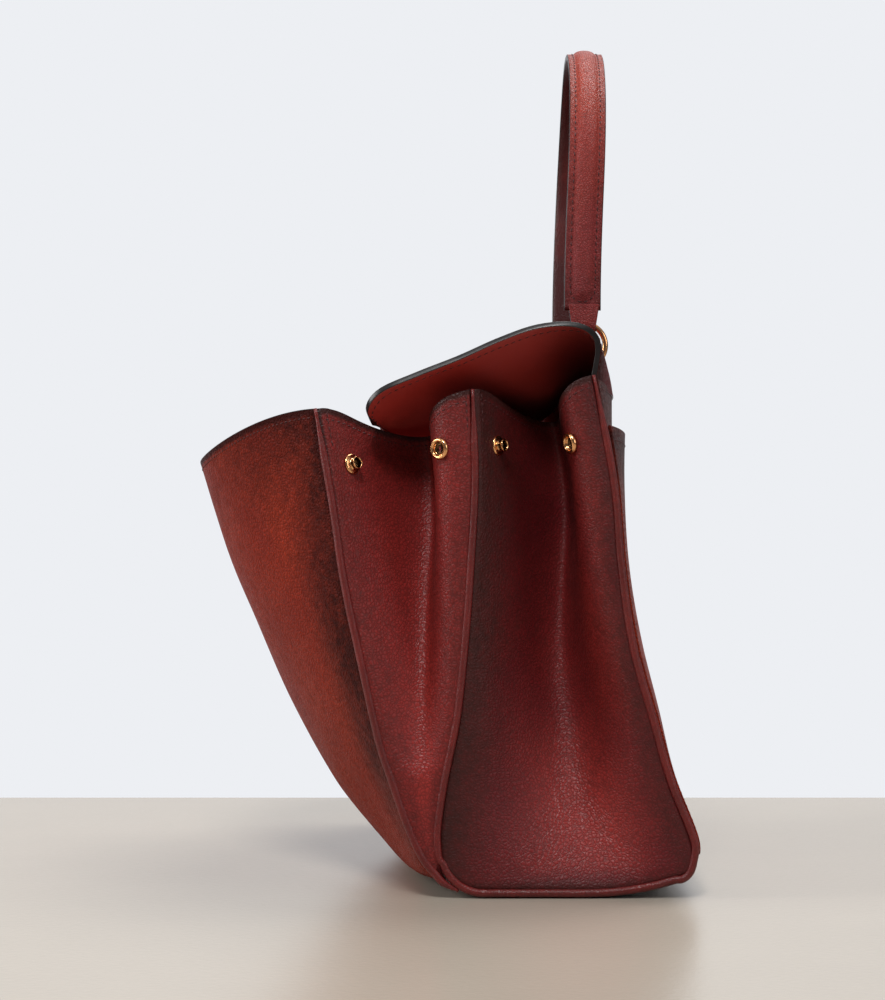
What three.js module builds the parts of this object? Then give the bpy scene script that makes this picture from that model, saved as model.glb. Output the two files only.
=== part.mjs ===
// A soft leather bag with two compartments, a flap, a back pocket and a padded top handle.
// Millimetres, +Z up, the front towards -Y, the origin under the middle of the base.

import * as THREE from 'three';
import { mergeVertices } from 'three/addons/utils/BufferGeometryUtils.js';

// Driving dimensions
const HALF_WIDTH = 165;
const LEATHER = 2;
const GUSSET_LEATHER = 1.6;
const BASE_LEATHER = 3;
const FLAP_LEATHER = 3;
const GAP = 0.4;

// Piping and the seams it fills
const PIPING_RADIUS = 2;
const PIPING_SIDES = 8;
const SEAM_INSET = PIPING_RADIUS + 2 * GAP;
const PLAIN_SEAM_INSET = PIPING_RADIUS;
const PIPED_SHARE = 0.96;
const FRONT_PIPING_START = 0.06;
const PIPING_SAMPLES = 14;

// Base section: a flat sole, a round front corner and a slow rise to the back
const BASE_FRONT = -61;
const BASE_BACK = 62;
const SOLE_FRONT = -40;
const SOLE_BACK = 8;
const FRONT_CORNER_RADIUS = 22;
const BACK_RISE = 9;
const BACK_RISE_POWER = 2.2;

// Front panel, a row for each height: the seam at the sides and the bowed middle line
const FRONT_ROWS = [
  { seamX: 165, seamY: -60.5, seamZ: 7.5, middleY: -61.5, middleZ: 3.2 },
  { seamX: 165, seamY: -71, seamZ: 20, middleY: -77.5, middleZ: 1.6 },
  { seamX: 165, seamY: -79.5, seamZ: 39, middleY: -94, middleZ: 15.5 },
  { seamX: 165, seamY: -86.5, seamZ: 59, middleY: -109.2, middleZ: 31 },
  { seamX: 164.5, seamY: -93, seamZ: 79, middleY: -123, middleZ: 50 },
  { seamX: 164, seamY: -102, seamZ: 119, middleY: -143.3, middleZ: 88 },
  { seamX: 163, seamY: -110.5, seamZ: 159, middleY: -163.3, middleZ: 134 },
  { seamX: 161, seamY: -116.5, seamZ: 199, middleY: -179.4, middleZ: 172 },
  { seamX: 158, seamY: -125, seamZ: 245, middleY: -194.6, middleZ: 220 },
];
const FRONT_BOW_POWER = 2.2;
const FRONT_DROP_POWER = { low: 0.6, high: 1.8, from: 0.1, to: 0.4 };

// Divider and back panel seams, a row for each height, with the back panel's bow and the gusset fold
const SIDE_ROWS = [
  { dividerY: -62.8, dividerZ: 19.5, backY: 63.8, backZ: 15.5, backBow: 2, fold: 0 },
  { dividerY: -63.7, dividerZ: 33, backY: 65, backZ: 28, backBow: 2, fold: 8 },
  { dividerY: -60, dividerZ: 59, backY: 53, backZ: 59, backBow: 2.5, fold: 24 },
  { dividerY: -54, dividerZ: 89, backY: 44.5, backZ: 89, backBow: 3.4, fold: 36 },
  { dividerY: -50, dividerZ: 125, backY: 34.5, backZ: 125, backBow: 4.3, fold: 45 },
  { dividerY: -47, dividerZ: 165, backY: 28.5, backZ: 165, backBow: 2.6, fold: 52 },
  { dividerY: -44.8, dividerZ: 209, backY: 24.5, backZ: 209, backBow: 3, fold: 57 },
  { dividerY: -46, dividerZ: 254.5, backY: 14.5, backZ: 261.5, backBow: 14, fold: 58 },
];
const DIVIDER_DIP = 18;
const BACK_BOW_POWER = 4;
const BACK_DIP = 4;

// Gusset fold from its front seam to its back one: pinched and dipping at the top, gentle low down
const FOLD_SECTION = [
  { across: 0, depth: 0, dip: 0, lowAcross: 0, lowDepth: 0 },
  { across: 0.12, depth: 0.17, dip: 0.08, lowAcross: 0.1, lowDepth: 0.07 },
  { across: 0.25, depth: 0.38, dip: 0.42, lowAcross: 0.21, lowDepth: 0.28 },
  { across: 0.42, depth: 0.66, dip: 0.74, lowAcross: 0.33, lowDepth: 0.6 },
  { across: 0.58, depth: 0.9, dip: 0.95, lowAcross: 0.44, lowDepth: 0.87 },
  { across: 0.7, depth: 1, dip: 1, lowAcross: 0.53, lowDepth: 0.99 },
  { across: 0.762, depth: 0.92, dip: 0.98, lowAcross: 0.6, lowDepth: 0.99 },
  { across: 0.765, depth: 0.62, dip: 0.86, lowAcross: 0.67, lowDepth: 0.86 },
  { across: 0.735, depth: 0.3, dip: 0.66, lowAcross: 0.74, lowDepth: 0.62 },
  { across: 0.75, depth: 0.07, dip: 0.4, lowAcross: 0.81, lowDepth: 0.36 },
  { across: 0.82, depth: -0.03, dip: 0.15, lowAcross: 0.88, lowDepth: 0.14 },
  { across: 0.91, depth: -0.03, dip: 0.03, lowAcross: 0.94, lowDepth: 0.03 },
  { across: 1, depth: 0, dip: 0, lowAcross: 1, lowDepth: 0 },
];
const FRONT_GUSSET_START = 0.165;
const FRONT_FOLD_DEPTH = 57;
const FRONT_FOLD_GROWTH = { from: 0.33, to: 1.14 };
const FOLD_DIP = 20;
const FOLD_PINCH = { from: 0.45, to: 0.97 };
const BOTTOM_BLEND_POWER = 3;
const HALVINGS = 30;

// Flap, a row for each line across it: its raised side edge, its sagging middle and how late it curls
const FLAP_ROWS = [
  { halfX: 163, edgeY: 14.5, edgeZ: 262.3, middleY: 28.5, middleZ: 258.6, curl: 4 },
  { halfX: 163, edgeY: 16.9, edgeZ: 275.2, middleY: 26.6, middleZ: 262.4, curl: 3 },
  { halfX: 163, edgeY: 13.2, edgeZ: 283.6, middleY: 18.6, middleZ: 264.1, curl: 3 },
  { halfX: 163, edgeY: 3, edgeZ: 287.2, middleY: 9.2, middleZ: 260.8, curl: 3 },
  { halfX: 163, edgeY: -14, edgeZ: 285.9, middleY: -3.5, middleZ: 246.5, curl: 3 },
  { halfX: 163, edgeY: -33, edgeZ: 279.3, middleY: -16, middleZ: 241, curl: 3 },
  { halfX: 163, edgeY: -53, edgeZ: 270.3, middleY: -32, middleZ: 241.1, curl: 3 },
  { halfX: 162.5, edgeY: -74, edgeZ: 262, middleY: -49, middleZ: 240.3, curl: 3 },
  { halfX: 161.5, edgeY: -92.5, edgeZ: 253.8, middleY: -65, middleZ: 237.4, curl: 4 },
  { halfX: 155, edgeY: -99.2, edgeZ: 244.8, middleY: -78, middleZ: 235, curl: 5 },
  { halfX: 140, edgeY: -95.4, edgeZ: 237, middleY: -86, middleZ: 233.5, curl: 3 },
];

// Back pocket on the back panel, as shares of the panel's width and height
const POCKET_WIDTH_SHARE = 0.96;
const POCKET_BOTTOM_SHARE = 0.08;
const POCKET_TOP_SHARE = 0.934;
const POCKET_LEATHER = 1.8;
const POCKET_LIFT = 6;
const POCKET_LIFT_POWER = 1.5;

// Handle, its rings, and the leather that holds them
const HANDLE_HALF_SPAN = 80;
const HANDLE_TOP = 445.5;
const HANDLE_BOTTOM_Y = 13.2;
const HANDLE_LEAN = 4.2;
const HANDLE_WIDTH = 19.4;
const HANDLE_EDGE_THICKNESS = 3;
const HANDLE_PAD_HEIGHT = 2.2;
const HANDLE_PAD_FLAT = 0.36;
const HANDLE_PAD_SHARE = 0.6;
const RING_RADIUS = 11.5;
const RING_WIRE_RADIUS = 1.5;
const TAB_WIDTH = 13;
const TAB_LEATHER = 2;
const TAB_HEIGHT = 12;
const CHAPE_LENGTH = 38;
const CHAPE_WIDTH = 9;
const CHAPE_LEATHER = 1.6;
const CHAPE_TOP_SHARE = 0.18;
const CHAPE_FOOT_SHARE = 0.45;
const CREST_SHARE = 0.2475;

// Snaps, as sections from the leather outwards
const STUD_SECTION = [
  { radius: 5.2, height: 0 },
  { radius: 5.2, height: 0.7 },
  { radius: 3, height: 1.2 },
  { radius: 2.6, height: 3.8 },
  { radius: 1.3, height: 3.8 },
  { radius: 1.3, height: 1.6 },
];
const SOCKET_SECTION = [
  { radius: 5.6, height: 0 },
  { radius: 5.8, height: 1.3 },
  { radius: 4.8, height: 2.4 },
  { radius: 3.6, height: 2 },
  { radius: 3.2, height: 0.8 },
];
const SNAP_SIDES = 12;
const SNAP_SEAT = 0.5;
const SNAPS = [
  { name: 'snap_stud_front', gusset: 'front', section: STUD_SECTION, across: 0.098, up: 0.911 },
  { name: 'snap_socket_front', gusset: 'front', section: SOCKET_SECTION, across: 0.808, up: 0.927 },
  { name: 'snap_stud_back', gusset: 'back', section: STUD_SECTION, across: 0.096, up: 0.912 },
  { name: 'snap_socket_back', gusset: 'back', section: SOCKET_SECTION, across: 0.789, up: 0.926 },
];

// Materials
const burgundy = new THREE.MeshStandardMaterial({ color: 0x5a1c1c, roughness: 0.55 });
const rust = new THREE.MeshStandardMaterial({ color: 0x8a3a2c, roughness: 0.5 });
const dark = new THREE.MeshStandardMaterial({ color: 0x3a2022, roughness: 0.5 });
const terracotta = new THREE.MeshStandardMaterial({ color: 0x9a4a3c, roughness: 0.5 });
const gold = new THREE.MeshStandardMaterial({ color: 0xd9a441, roughness: 0.25, metalness: 1 });

// A smooth line through a table's rows, where equal shares of two lines name the same row
function lineThrough(rows, pick) {
  const points = rows.map((row) => new THREE.Vector3(...pick(row)));
  const curve = new THREE.CatmullRomCurve3(points, false, 'catmullrom', 0.5);
  return (share) => curve.getPoint(THREE.MathUtils.clamp(share, 0, 1));
}

const frontSeam = lineThrough(FRONT_ROWS, (row) => [row.seamX, row.seamY, row.seamZ]);
const frontMiddle = lineThrough(FRONT_ROWS, (row) => [0, row.middleY, row.middleZ]);
const dividerSeam = lineThrough(SIDE_ROWS, (row) => [HALF_WIDTH, row.dividerY, row.dividerZ]);
const backSeam = lineThrough(SIDE_ROWS, (row) => [HALF_WIDTH, row.backY, row.backZ]);
const foldDepth = lineThrough(SIDE_ROWS, (row) => [row.fold, 0, 0]);
const backBow = lineThrough(SIDE_ROWS, (row) => [row.backBow, 0, 0]);
const foldSection = lineThrough(FOLD_SECTION, (row) => [row.across, row.depth, row.dip]);
const lowSection = lineThrough(FOLD_SECTION, (row) => [row.lowAcross, row.lowDepth, row.dip]);
const flapEdge = lineThrough(FLAP_ROWS, (row) => [row.halfX, row.edgeY, row.edgeZ]);
const flapMiddle = lineThrough(FLAP_ROWS, (row) => [0, row.middleY, row.middleZ]);
const flapCurl = lineThrough(FLAP_ROWS, (row) => [row.curl, 0, 0]);

function mix(a, b, share) {
  return a + (b - a) * share;
}

function smooth(from, to, value) {
  return THREE.MathUtils.smoothstep(value, from, to);
}

// Height of the base seam's centre line at a depth y
function baseHeight(y) {
  if (y < SOLE_FRONT) {
    const run = Math.min(SOLE_FRONT - y, FRONT_CORNER_RADIUS);
    return PIPING_RADIUS + GAP + FRONT_CORNER_RADIUS - Math.sqrt(FRONT_CORNER_RADIUS ** 2 - run ** 2);
  }
  const run = Math.max(0, (y - SOLE_BACK) / (BASE_BACK - SOLE_BACK));
  return PIPING_RADIUS + GAP + BACK_RISE * run ** BACK_RISE_POWER;
}

// How far a leather edge stops short of the seam: wide at the piping, narrow at the plain top
function seamInset(up) {
  return mix(SEAM_INSET, PLAIN_SEAM_INSET, smooth(PIPED_SHARE, 1, up));
}

// Point on a mid-surface spanned between a side line and a middle line, across from -1 to 1
function bowedPoint(side, middle, across, power, inset) {
  const bow = 1 - Math.abs(across) ** power;
  const x = across * (side.x - inset);
  return new THREE.Vector3(x, mix(side.y, middle.y, bow), mix(side.z, middle.z, bow));
}

function frontPanelPoint(across, up) {
  const side = frontSeam(up);
  const middle = frontMiddle(up);
  const bow = 1 - Math.abs(across) ** FRONT_BOW_POWER;
  const x = across * (side.x - seamInset(up));
  const { low, high, from, to } = FRONT_DROP_POWER;
  const drop = Math.max(0, bow) ** mix(low, high, smooth(from, to, up));
  return new THREE.Vector3(x, mix(side.y, middle.y, bow), mix(side.z, middle.z, drop));
}

function backPanelPoint(across, up) {
  const side = backSeam(up);
  const middle = side.clone();
  middle.y += backBow(up).x;
  middle.z -= BACK_DIP * up ** 4;
  return bowedPoint(side, middle, across, BACK_BOW_POWER, seamInset(up));
}

function dividerPoint(across, up) {
  const side = dividerSeam(up);
  const middle = side.clone();
  middle.z -= DIVIDER_DIP * up ** 2;
  return bowedPoint(side, middle, across, 2, seamInset(up));
}

function basePoint(across, along) {
  const y = mix(BASE_FRONT, BASE_BACK, along);
  const z = baseHeight(y) - PIPING_RADIUS - GAP + BASE_LEATHER / 2;
  return new THREE.Vector3(-across * (HALF_WIDTH - SEAM_INSET), y, z);
}

function flapPoint(across, along) {
  return bowedPoint(flapEdge(along), flapMiddle(along), across, flapCurl(along).x, 0);
}

function pocketSeat(across, up) {
  const height = mix(POCKET_BOTTOM_SHARE, POCKET_TOP_SHARE, up);
  return backPanelPoint(across * POCKET_WIDTH_SHARE, height);
}

function pocketPoint(across, up) {
  const standoff = LEATHER / 2 + 2 * GAP + POCKET_LEATHER / 2;
  const lift = POCKET_LIFT * up ** POCKET_LIFT_POWER * (1 - Math.abs(across) ** BACK_BOW_POWER);
  return pocketSeat(across, up).addScaledVector(surfaceNormal(pocketSeat, across, up), -standoff - lift);
}

// Gusset mid-surface between two seam lines, folded inwards; side is 1 on the right and -1 on the left
function gussetPoint(side, seamA, seamB, depth, up, foldShare) {
  const fold = lowSection(foldShare).lerp(foldSection(foldShare), smooth(FOLD_PINCH.from, FOLD_PINCH.to, up));
  const width = Math.hypot(seamB.y - seamA.y, seamB.z - seamA.z);
  const edge = (seamInset(up) + GAP) / width;
  const across = mix(edge, 1 - edge, fold.x);
  const x = mix(seamA.x, seamB.x, across) - depth * fold.y;
  const z = mix(seamA.z, seamB.z, across) - FOLD_DIP * up ** 3 * fold.z;
  return new THREE.Vector3(side * x, mix(seamA.y, seamB.y, across), z);
}

function frontGussetPoint(side, foldShare, share) {
  const up = mix(FRONT_GUSSET_START, 1, share);
  const depth = FRONT_FOLD_DEPTH * smooth(FRONT_FOLD_GROWTH.from, FRONT_FOLD_GROWTH.to, share);
  return gussetPoint(side, frontSeam(up), dividerAcrossFrom(up), depth, up, foldShare);
}

// Share of a rising line at which it reaches a height, by halving
function shareAtHeight(line, height) {
  let low = 0;
  let high = 1;
  for (let step = 0; step < HALVINGS; step += 1) {
    const middle = (low + high) / 2;
    if (line(middle).z < height) low = middle;
    else high = middle;
  }
  return low;
}

// The divider seam opposite a place on the front seam: level with it below, and top against top
function dividerAcrossFrom(up) {
  const lift = dividerSeam(1).z - frontSeam(1).z;
  const height = frontSeam(up).z + lift * smooth(0.5, 1, up);
  return dividerSeam(shareAtHeight(dividerSeam, height));
}

function backGussetPoint(side, foldShare, up) {
  const depth = foldDepth(up).x;
  const point = gussetPoint(side, dividerSeam(up), backSeam(up), depth, up, foldShare);
  const ground = gussetPoint(side, dividerSeam(0), backSeam(0), 0, 0, foldShare);
  const slope = baseHeight(ground.y + 0.5) - baseHeight(ground.y - 0.5);
  const bottom = baseHeight(ground.y) + (SEAM_INSET + 3 * GAP) * Math.hypot(1, slope);
  point.z += Math.min(0, bottom - ground.z) * (1 - up) ** BOTTOM_BLEND_POWER;
  return point;
}

// Unit normal of a mid-surface, from its two directions
function surfaceNormal(point, a, b) {
  const step = 1e-3;
  const alongA = point(a + step, b).sub(point(a - step, b));
  const alongB = point(a, Math.min(1, b + step)).sub(point(a, Math.max(0, b - step)));
  return alongA.cross(alongB).normalize();
}

// A closed block of unit size, its two skins split along matching diagonals, mirrored about the middle
function skinnedBlock(steps) {
  const box = new THREE.BoxGeometry(1, 1, 1, steps.across, steps.up, 1);
  const index = box.index.array;
  const corner = box.attributes.position;
  for (const skin of box.groups.slice(-2)) {
    for (let i = skin.start; i < skin.start + skin.count; i += 6) {
      const [a, b, d, , c] = index.subarray(i, i + 6);
      const left = corner.getX(a) + corner.getX(c) < 0;
      const inner = corner.getZ(a) < 0;
      if (left !== inner) index.set([a, b, c, a, c, d], i);
    }
  }
  box.deleteAttribute('normal');
  box.deleteAttribute('uv');
  return mergeVertices(box);
}

// Closed wall of a given thickness around a mid-surface whose shares run from (a0, 0) to (1, 1)
function wall(point, a0, steps, thickness) {
  const geometry = skinnedBlock(steps);
  const position = geometry.attributes.position;
  for (let i = 0; i < position.count; i += 1) {
    const a = mix(a0, 1, position.getX(i) + 0.5);
    const b = position.getY(i) + 0.5;
    const place = point(a, b).addScaledVector(surfaceNormal(point, a, b), position.getZ(i) * thickness);
    position.setXYZ(i, place.x, place.y, place.z);
  }
  return geometry;
}

// Round cord along a line
function cord(points, steps) {
  const outline = new THREE.Shape();
  for (let i = 0; i < PIPING_SIDES; i += 1) {
    const angle = (2 * Math.PI * i) / PIPING_SIDES;
    const x = PIPING_RADIUS * Math.cos(angle);
    const y = PIPING_RADIUS * Math.sin(angle);
    if (i === 0) outline.moveTo(x, y);
    else outline.lineTo(x, y);
  }
  const path = new THREE.CatmullRomCurve3(points, false, 'centripetal');
  return new THREE.ExtrudeGeometry(outline, { steps, extrudePath: path });
}

const bag = new THREE.Group();

function addPiece(name, geometry, material) {
  const mesh = new THREE.Mesh(geometry, material);
  mesh.name = name;
  bag.add(mesh);
  return mesh;
}

// Body walls
addPiece('front_panel', wall(frontPanelPoint, -1, { across: 18, up: 16 }, LEATHER), rust);
addPiece('divider', wall(dividerPoint, -1, { across: 8, up: 9 }, LEATHER), burgundy);
addPiece('back_panel', wall(backPanelPoint, -1, { across: 16, up: 12 }, LEATHER), rust);
addPiece('base_panel', wall(basePoint, -1, { across: 4, up: 18 }, BASE_LEATHER), dark);
addPiece('flap', wall(flapPoint, -1, { across: 18, up: 18 }, FLAP_LEATHER), burgundy);
addPiece('back_pocket', wall(pocketPoint, -1, { across: 14, up: 9 }, POCKET_LEATHER), rust);

// Side walls, their piping and their snaps
const SIDES = [
  { name: 'right', sign: 1 },
  { name: 'left', sign: -1 },
];

function mirrored(point, sign) {
  return new THREE.Vector3(point.x * sign, point.y, point.z);
}

function frontPipingLine(sign) {
  const line = [];
  for (let i = 0; i <= PIPING_SAMPLES; i += 1) {
    line.push(mirrored(frontSeam(mix(FRONT_PIPING_START, PIPED_SHARE, i / PIPING_SAMPLES)), sign));
  }
  return line;
}

function bodyPipingLine(sign) {
  const line = [];
  const shares = Array.from({ length: PIPING_SAMPLES + 1 }, (_, i) => i / PIPING_SAMPLES);
  for (const share of shares) line.push(mirrored(dividerSeam(mix(PIPED_SHARE, 0, share)), sign));
  for (const share of shares) {
    const y = mix(BASE_FRONT, BASE_BACK, share);
    line.push(new THREE.Vector3(sign * HALF_WIDTH, y, baseHeight(y)));
  }
  for (const share of shares) line.push(mirrored(backSeam(mix(0, PIPED_SHARE, share)), sign));
  return line;
}

// A snap's section turned about its own axis, closed on the axis at both ends
function snapGeometry(section) {
  const last = section[section.length - 1];
  const outline = [new THREE.Vector2(0, 0)];
  for (const row of section) outline.push(new THREE.Vector2(row.radius, row.height));
  outline.push(new THREE.Vector2(0, last.height));
  return new THREE.LatheGeometry(outline, SNAP_SIDES);
}

for (const side of SIDES) {
  const gussets = {
    front: (foldShare, up) => frontGussetPoint(side.sign, foldShare, up),
    back: (foldShare, up) => backGussetPoint(side.sign, foldShare, up),
  };
  for (const [place, point] of Object.entries(gussets)) {
    const geometry = wall(point, 0, { across: 18, up: 9 }, GUSSET_LEATHER);
    addPiece(`${place}_gusset_${side.name}`, geometry, burgundy);
  }
  addPiece(`front_piping_${side.name}`, cord(frontPipingLine(side.sign), 22), dark);
  addPiece(`body_piping_${side.name}`, cord(bodyPipingLine(side.sign), 70), dark);

  for (const snap of SNAPS) {
    const point = gussets[snap.gusset];
    const out = surfaceNormal(point, snap.across, snap.up);
    if (out.x * side.sign < 0) out.negate();
    const mesh = addPiece(`${snap.name}_${side.name}`, snapGeometry(snap.section), gold);
    mesh.position.copy(point(snap.across, snap.up)).addScaledVector(out, GUSSET_LEATHER / 2 + SNAP_SEAT);
    mesh.quaternion.setFromUnitVectors(new THREE.Vector3(0, 1, 0), out);
  }
}

// Handle hardware stands on the crest of the flap
const crest = flapPoint(HANDLE_HALF_SPAN / HALF_WIDTH, CREST_SHARE);
const ringZ = crest.z + FLAP_LEATHER / 2 + GAP + RING_RADIUS + RING_WIRE_RADIUS;
const ringTopZ = ringZ + RING_RADIUS;
const tabTopZ = ringTopZ + TAB_HEIGHT - RING_WIRE_RADIUS - TAB_LEATHER;
const handleBottomZ = tabTopZ + GAP;

// A leather loop round the top of the ring, seen along the ring's wire
function tabGeometry() {
  const inner = RING_WIRE_RADIUS + GAP;
  const outer = inner + TAB_LEATHER;
  const drop = GAP + RING_RADIUS - Math.sqrt(RING_RADIUS ** 2 - (TAB_WIDTH / 2) ** 2);
  const outline = new THREE.Shape();
  outline.moveTo(outer, tabTopZ - ringTopZ);
  outline.lineTo(-outer, tabTopZ - ringTopZ);
  outline.lineTo(-outer, -drop);
  outline.absarc(0, -drop, outer, Math.PI, 2 * Math.PI, false);
  const eye = new THREE.Path();
  eye.absarc(0, 0, inner, 0, Math.PI, false);
  eye.absarc(0, -drop, inner, Math.PI, 2 * Math.PI, false);
  outline.holes.push(eye);
  const settings = { depth: TAB_WIDTH, bevelEnabled: false, curveSegments: 6 };
  const geometry = new THREE.ExtrudeGeometry(outline, settings);
  geometry.translate(0, 0, -TAB_WIDTH / 2);
  geometry.rotateX(Math.PI / 2);
  return geometry;
}

// A leather bridge along X over the bottom of the ring, with both feet on the flap
function chapePoint(sign) {
  const foot = FLAP_LEATHER / 2 + 2 * GAP + CHAPE_LEATHER / 2;
  const bite = RING_RADIUS - RING_WIRE_RADIUS;
  const sag = bite - Math.sqrt(bite ** 2 - (CHAPE_WIDTH / 2) ** 2);
  const bridge = foot + 2 * RING_WIRE_RADIUS + sag + GAP;
  return (lengthShare, widthShare) => {
    const x = sign * HANDLE_HALF_SPAN + (lengthShare - 0.5) * CHAPE_LENGTH;
    const rise = 1 - smooth(CHAPE_TOP_SHARE, CHAPE_FOOT_SHARE, Math.abs(lengthShare - 0.5));
    const seat = flapPoint(x / HALF_WIDTH, CREST_SHARE);
    const y = crest.y + (widthShare - 0.5) * CHAPE_WIDTH;
    return new THREE.Vector3(x, y, seat.z + mix(foot, bridge, rise));
  };
}

for (const side of SIDES) {
  const x = side.sign * HANDLE_HALF_SPAN;
  const ring = new THREE.TorusGeometry(RING_RADIUS, RING_WIRE_RADIUS, 8, 20);
  ring.rotateY(Math.PI / 2);
  addPiece(`handle_ring_${side.name}`, ring, gold).position.set(x, crest.y, ringZ);
  addPiece(`handle_tab_${side.name}`, tabGeometry(), terracotta).position.set(x, crest.y, ringTopZ);
  const chape = wall(chapePoint(side.sign), 0, { across: 12, up: 2 }, CHAPE_LEATHER);
  addPiece(`ring_chape_${side.name}`, chape, burgundy);
}

// Handle: two straight legs and a round arch, a flat strap with a raised pad on its outer face
const archZ = HANDLE_TOP - HANDLE_HALF_SPAN;
const legLength = archZ - handleBottomZ;
const archLength = Math.PI * HANDLE_HALF_SPAN;

function handleFrame(share) {
  const run = share * (2 * legLength + archLength);
  const lean = (z) => HANDLE_BOTTOM_Y + HANDLE_LEAN * smooth(handleBottomZ, HANDLE_TOP, z);
  const angle = THREE.MathUtils.clamp((run - legLength) / HANDLE_HALF_SPAN, 0, Math.PI);
  const out = new THREE.Vector3(Math.cos(angle), 0, Math.sin(angle));
  const left = Math.max(0, run - legLength - archLength);
  const drop = Math.max(0, legLength - run) + left;
  const centre = new THREE.Vector3(out.x * HANDLE_HALF_SPAN, 0, archZ + out.z * HANDLE_HALF_SPAN - drop);
  centre.y = lean(centre.z);
  return { centre, out };
}

function handleGeometry() {
  const geometry = skinnedBlock({ across: 8, up: 28 });
  const position = geometry.attributes.position;
  for (let i = 0; i < position.count; i += 1) {
    const { centre, out } = handleFrame(position.getY(i) + 0.5);
    const across = position.getX(i) * 2;
    const outside = position.getZ(i) > 0 ? 1 : 0;
    const pad = outside * (1 - smooth(HANDLE_PAD_FLAT, HANDLE_PAD_SHARE, Math.abs(across)));
    centre.addScaledVector(out, position.getZ(i) * HANDLE_EDGE_THICKNESS + pad * HANDLE_PAD_HEIGHT);
    position.setXYZ(i, centre.x, centre.y + (across * HANDLE_WIDTH) / 2, centre.z);
  }
  return geometry;
}

addPiece('handle_strap', handleGeometry(), terracotta);

export default bag;
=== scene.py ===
"""Soft leather bag with two compartments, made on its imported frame."""

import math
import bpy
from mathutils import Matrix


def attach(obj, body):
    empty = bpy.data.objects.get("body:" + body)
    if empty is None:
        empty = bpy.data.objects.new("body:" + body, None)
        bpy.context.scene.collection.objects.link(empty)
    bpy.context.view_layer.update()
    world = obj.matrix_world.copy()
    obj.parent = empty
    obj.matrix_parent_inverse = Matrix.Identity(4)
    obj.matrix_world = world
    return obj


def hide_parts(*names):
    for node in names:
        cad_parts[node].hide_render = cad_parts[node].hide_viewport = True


bl_info = {
    "name": "Two compartment leather bag",
    "version": (1, 0, 0),
    "blender": (4, 5, 0),
    "location": "View3D > Sidebar > Bag",
    "description": "Builds a soft leather bag with folded gussets, a flap and a padded top handle",
    "category": "Add Mesh",
}

from functools import lru_cache

import bmesh
import bpy
from bpy.props import FloatProperty, FloatVectorProperty, IntProperty, PointerProperty
from bpy.types import Operator, Panel, PropertyGroup
from mathutils import Matrix, Vector, noise

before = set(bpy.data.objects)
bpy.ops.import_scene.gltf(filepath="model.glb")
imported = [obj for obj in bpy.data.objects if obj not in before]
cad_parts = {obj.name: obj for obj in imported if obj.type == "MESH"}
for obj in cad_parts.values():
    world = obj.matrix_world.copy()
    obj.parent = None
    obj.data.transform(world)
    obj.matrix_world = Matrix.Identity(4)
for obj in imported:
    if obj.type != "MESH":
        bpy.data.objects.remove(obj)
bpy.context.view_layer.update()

# Tables are in millimetres, +Z up, the front towards -Y
MM = 0.001
HALF_WIDTH = 165.0
TUCK = 0.9

# Sheets and seams: crowding, groove and painted shadow of seams, fading and cells of the leather's lie,
# sewing
SEAM_CROWD = 0.6
FADE_ACROSS = 0.12
FADE_UP = 0.1
WAVE_CELLS = 14
CREASE_CELLS = (45, 45, 16)
SEAM_GROOVE = (0.5, 4.0)
SEAM_SHADOW = 2.0
FAR_FOOT = 10.0
EDGE_ROUNDING = 0.34
WELD = 1e-6
SEW_STEPS = 160
STITCH_SLANT = 0.12

# Base section: a flat sole, a round front corner and a slow rise to the back
BASE_FRONT = -61.0
BASE_BACK = 62.0
SOLE_FRONT = -40.0
SOLE_BACK = 8.0
FRONT_CORNER_RADIUS = 22.0
BACK_RISE = 9.0
RISE_POWER = 2.2
SEAM_HEIGHT = 2.4
BASE_HALF_THICKNESS = 1.5
FRONT_PIPING_FOOT = (-53.0, 3.6)
BACK_PIPING_START = 0.13
PIPING_TAPER = 0.55
BACK_CORNER_RUN = 7.0
BACK_CORNER = ((59.3, 9.6), (62.9, 13.0), (64.6, 18.6))

# Front panel from the bottom up: seam X, Y, Z and the bowed middle's Y, Z
FRONT_ROWS = (
    (165, -60.5, 7.5, -61.5, 3.2),
    (165, -71, 20, -77.5, 1.6),
    (165, -79.5, 39, -94, 15.5),
    (165, -86.5, 59, -109.2, 31),
    (164.5, -93, 79, -123, 50),
    (164, -102, 119, -143.3, 88),
    (163, -110.5, 159, -163.3, 134),
    (161, -116.5, 199, -179.4, 172),
    (158, -125, 245, -194.6, 220),
)
FRONT_BOW_POWER = 2.2
FRONT_DROP_POWERS = (0.6, 1.8)
FRONT_DROP_CHANGE = (0.1, 0.4)

# Divider seam Y, Z, back seam Y, Z, then the back panel's bow and the gusset's fold depth
SIDE_ROWS = (
    (-62.8, 19.5, 63.8, 15.5, 2, 0),
    (-63.7, 33, 65, 28, 2, 8),
    (-60, 59, 53, 59, 2.5, 24),
    (-54, 89, 44.5, 89, 3.4, 36),
    (-50, 125, 34.5, 125, 4.3, 45),
    (-47, 165, 28.5, 165, 2.6, 52),
    (-44.8, 209, 24.5, 209, 3, 57),
    (-46, 254.5, 14.5, 261.5, 14, 58),
)
DIVIDER_DIP = 18.0
BACK_DIP = 4.0
BACK_BOW_POWER = 4
BACK_DIP_POWER = 4

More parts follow.
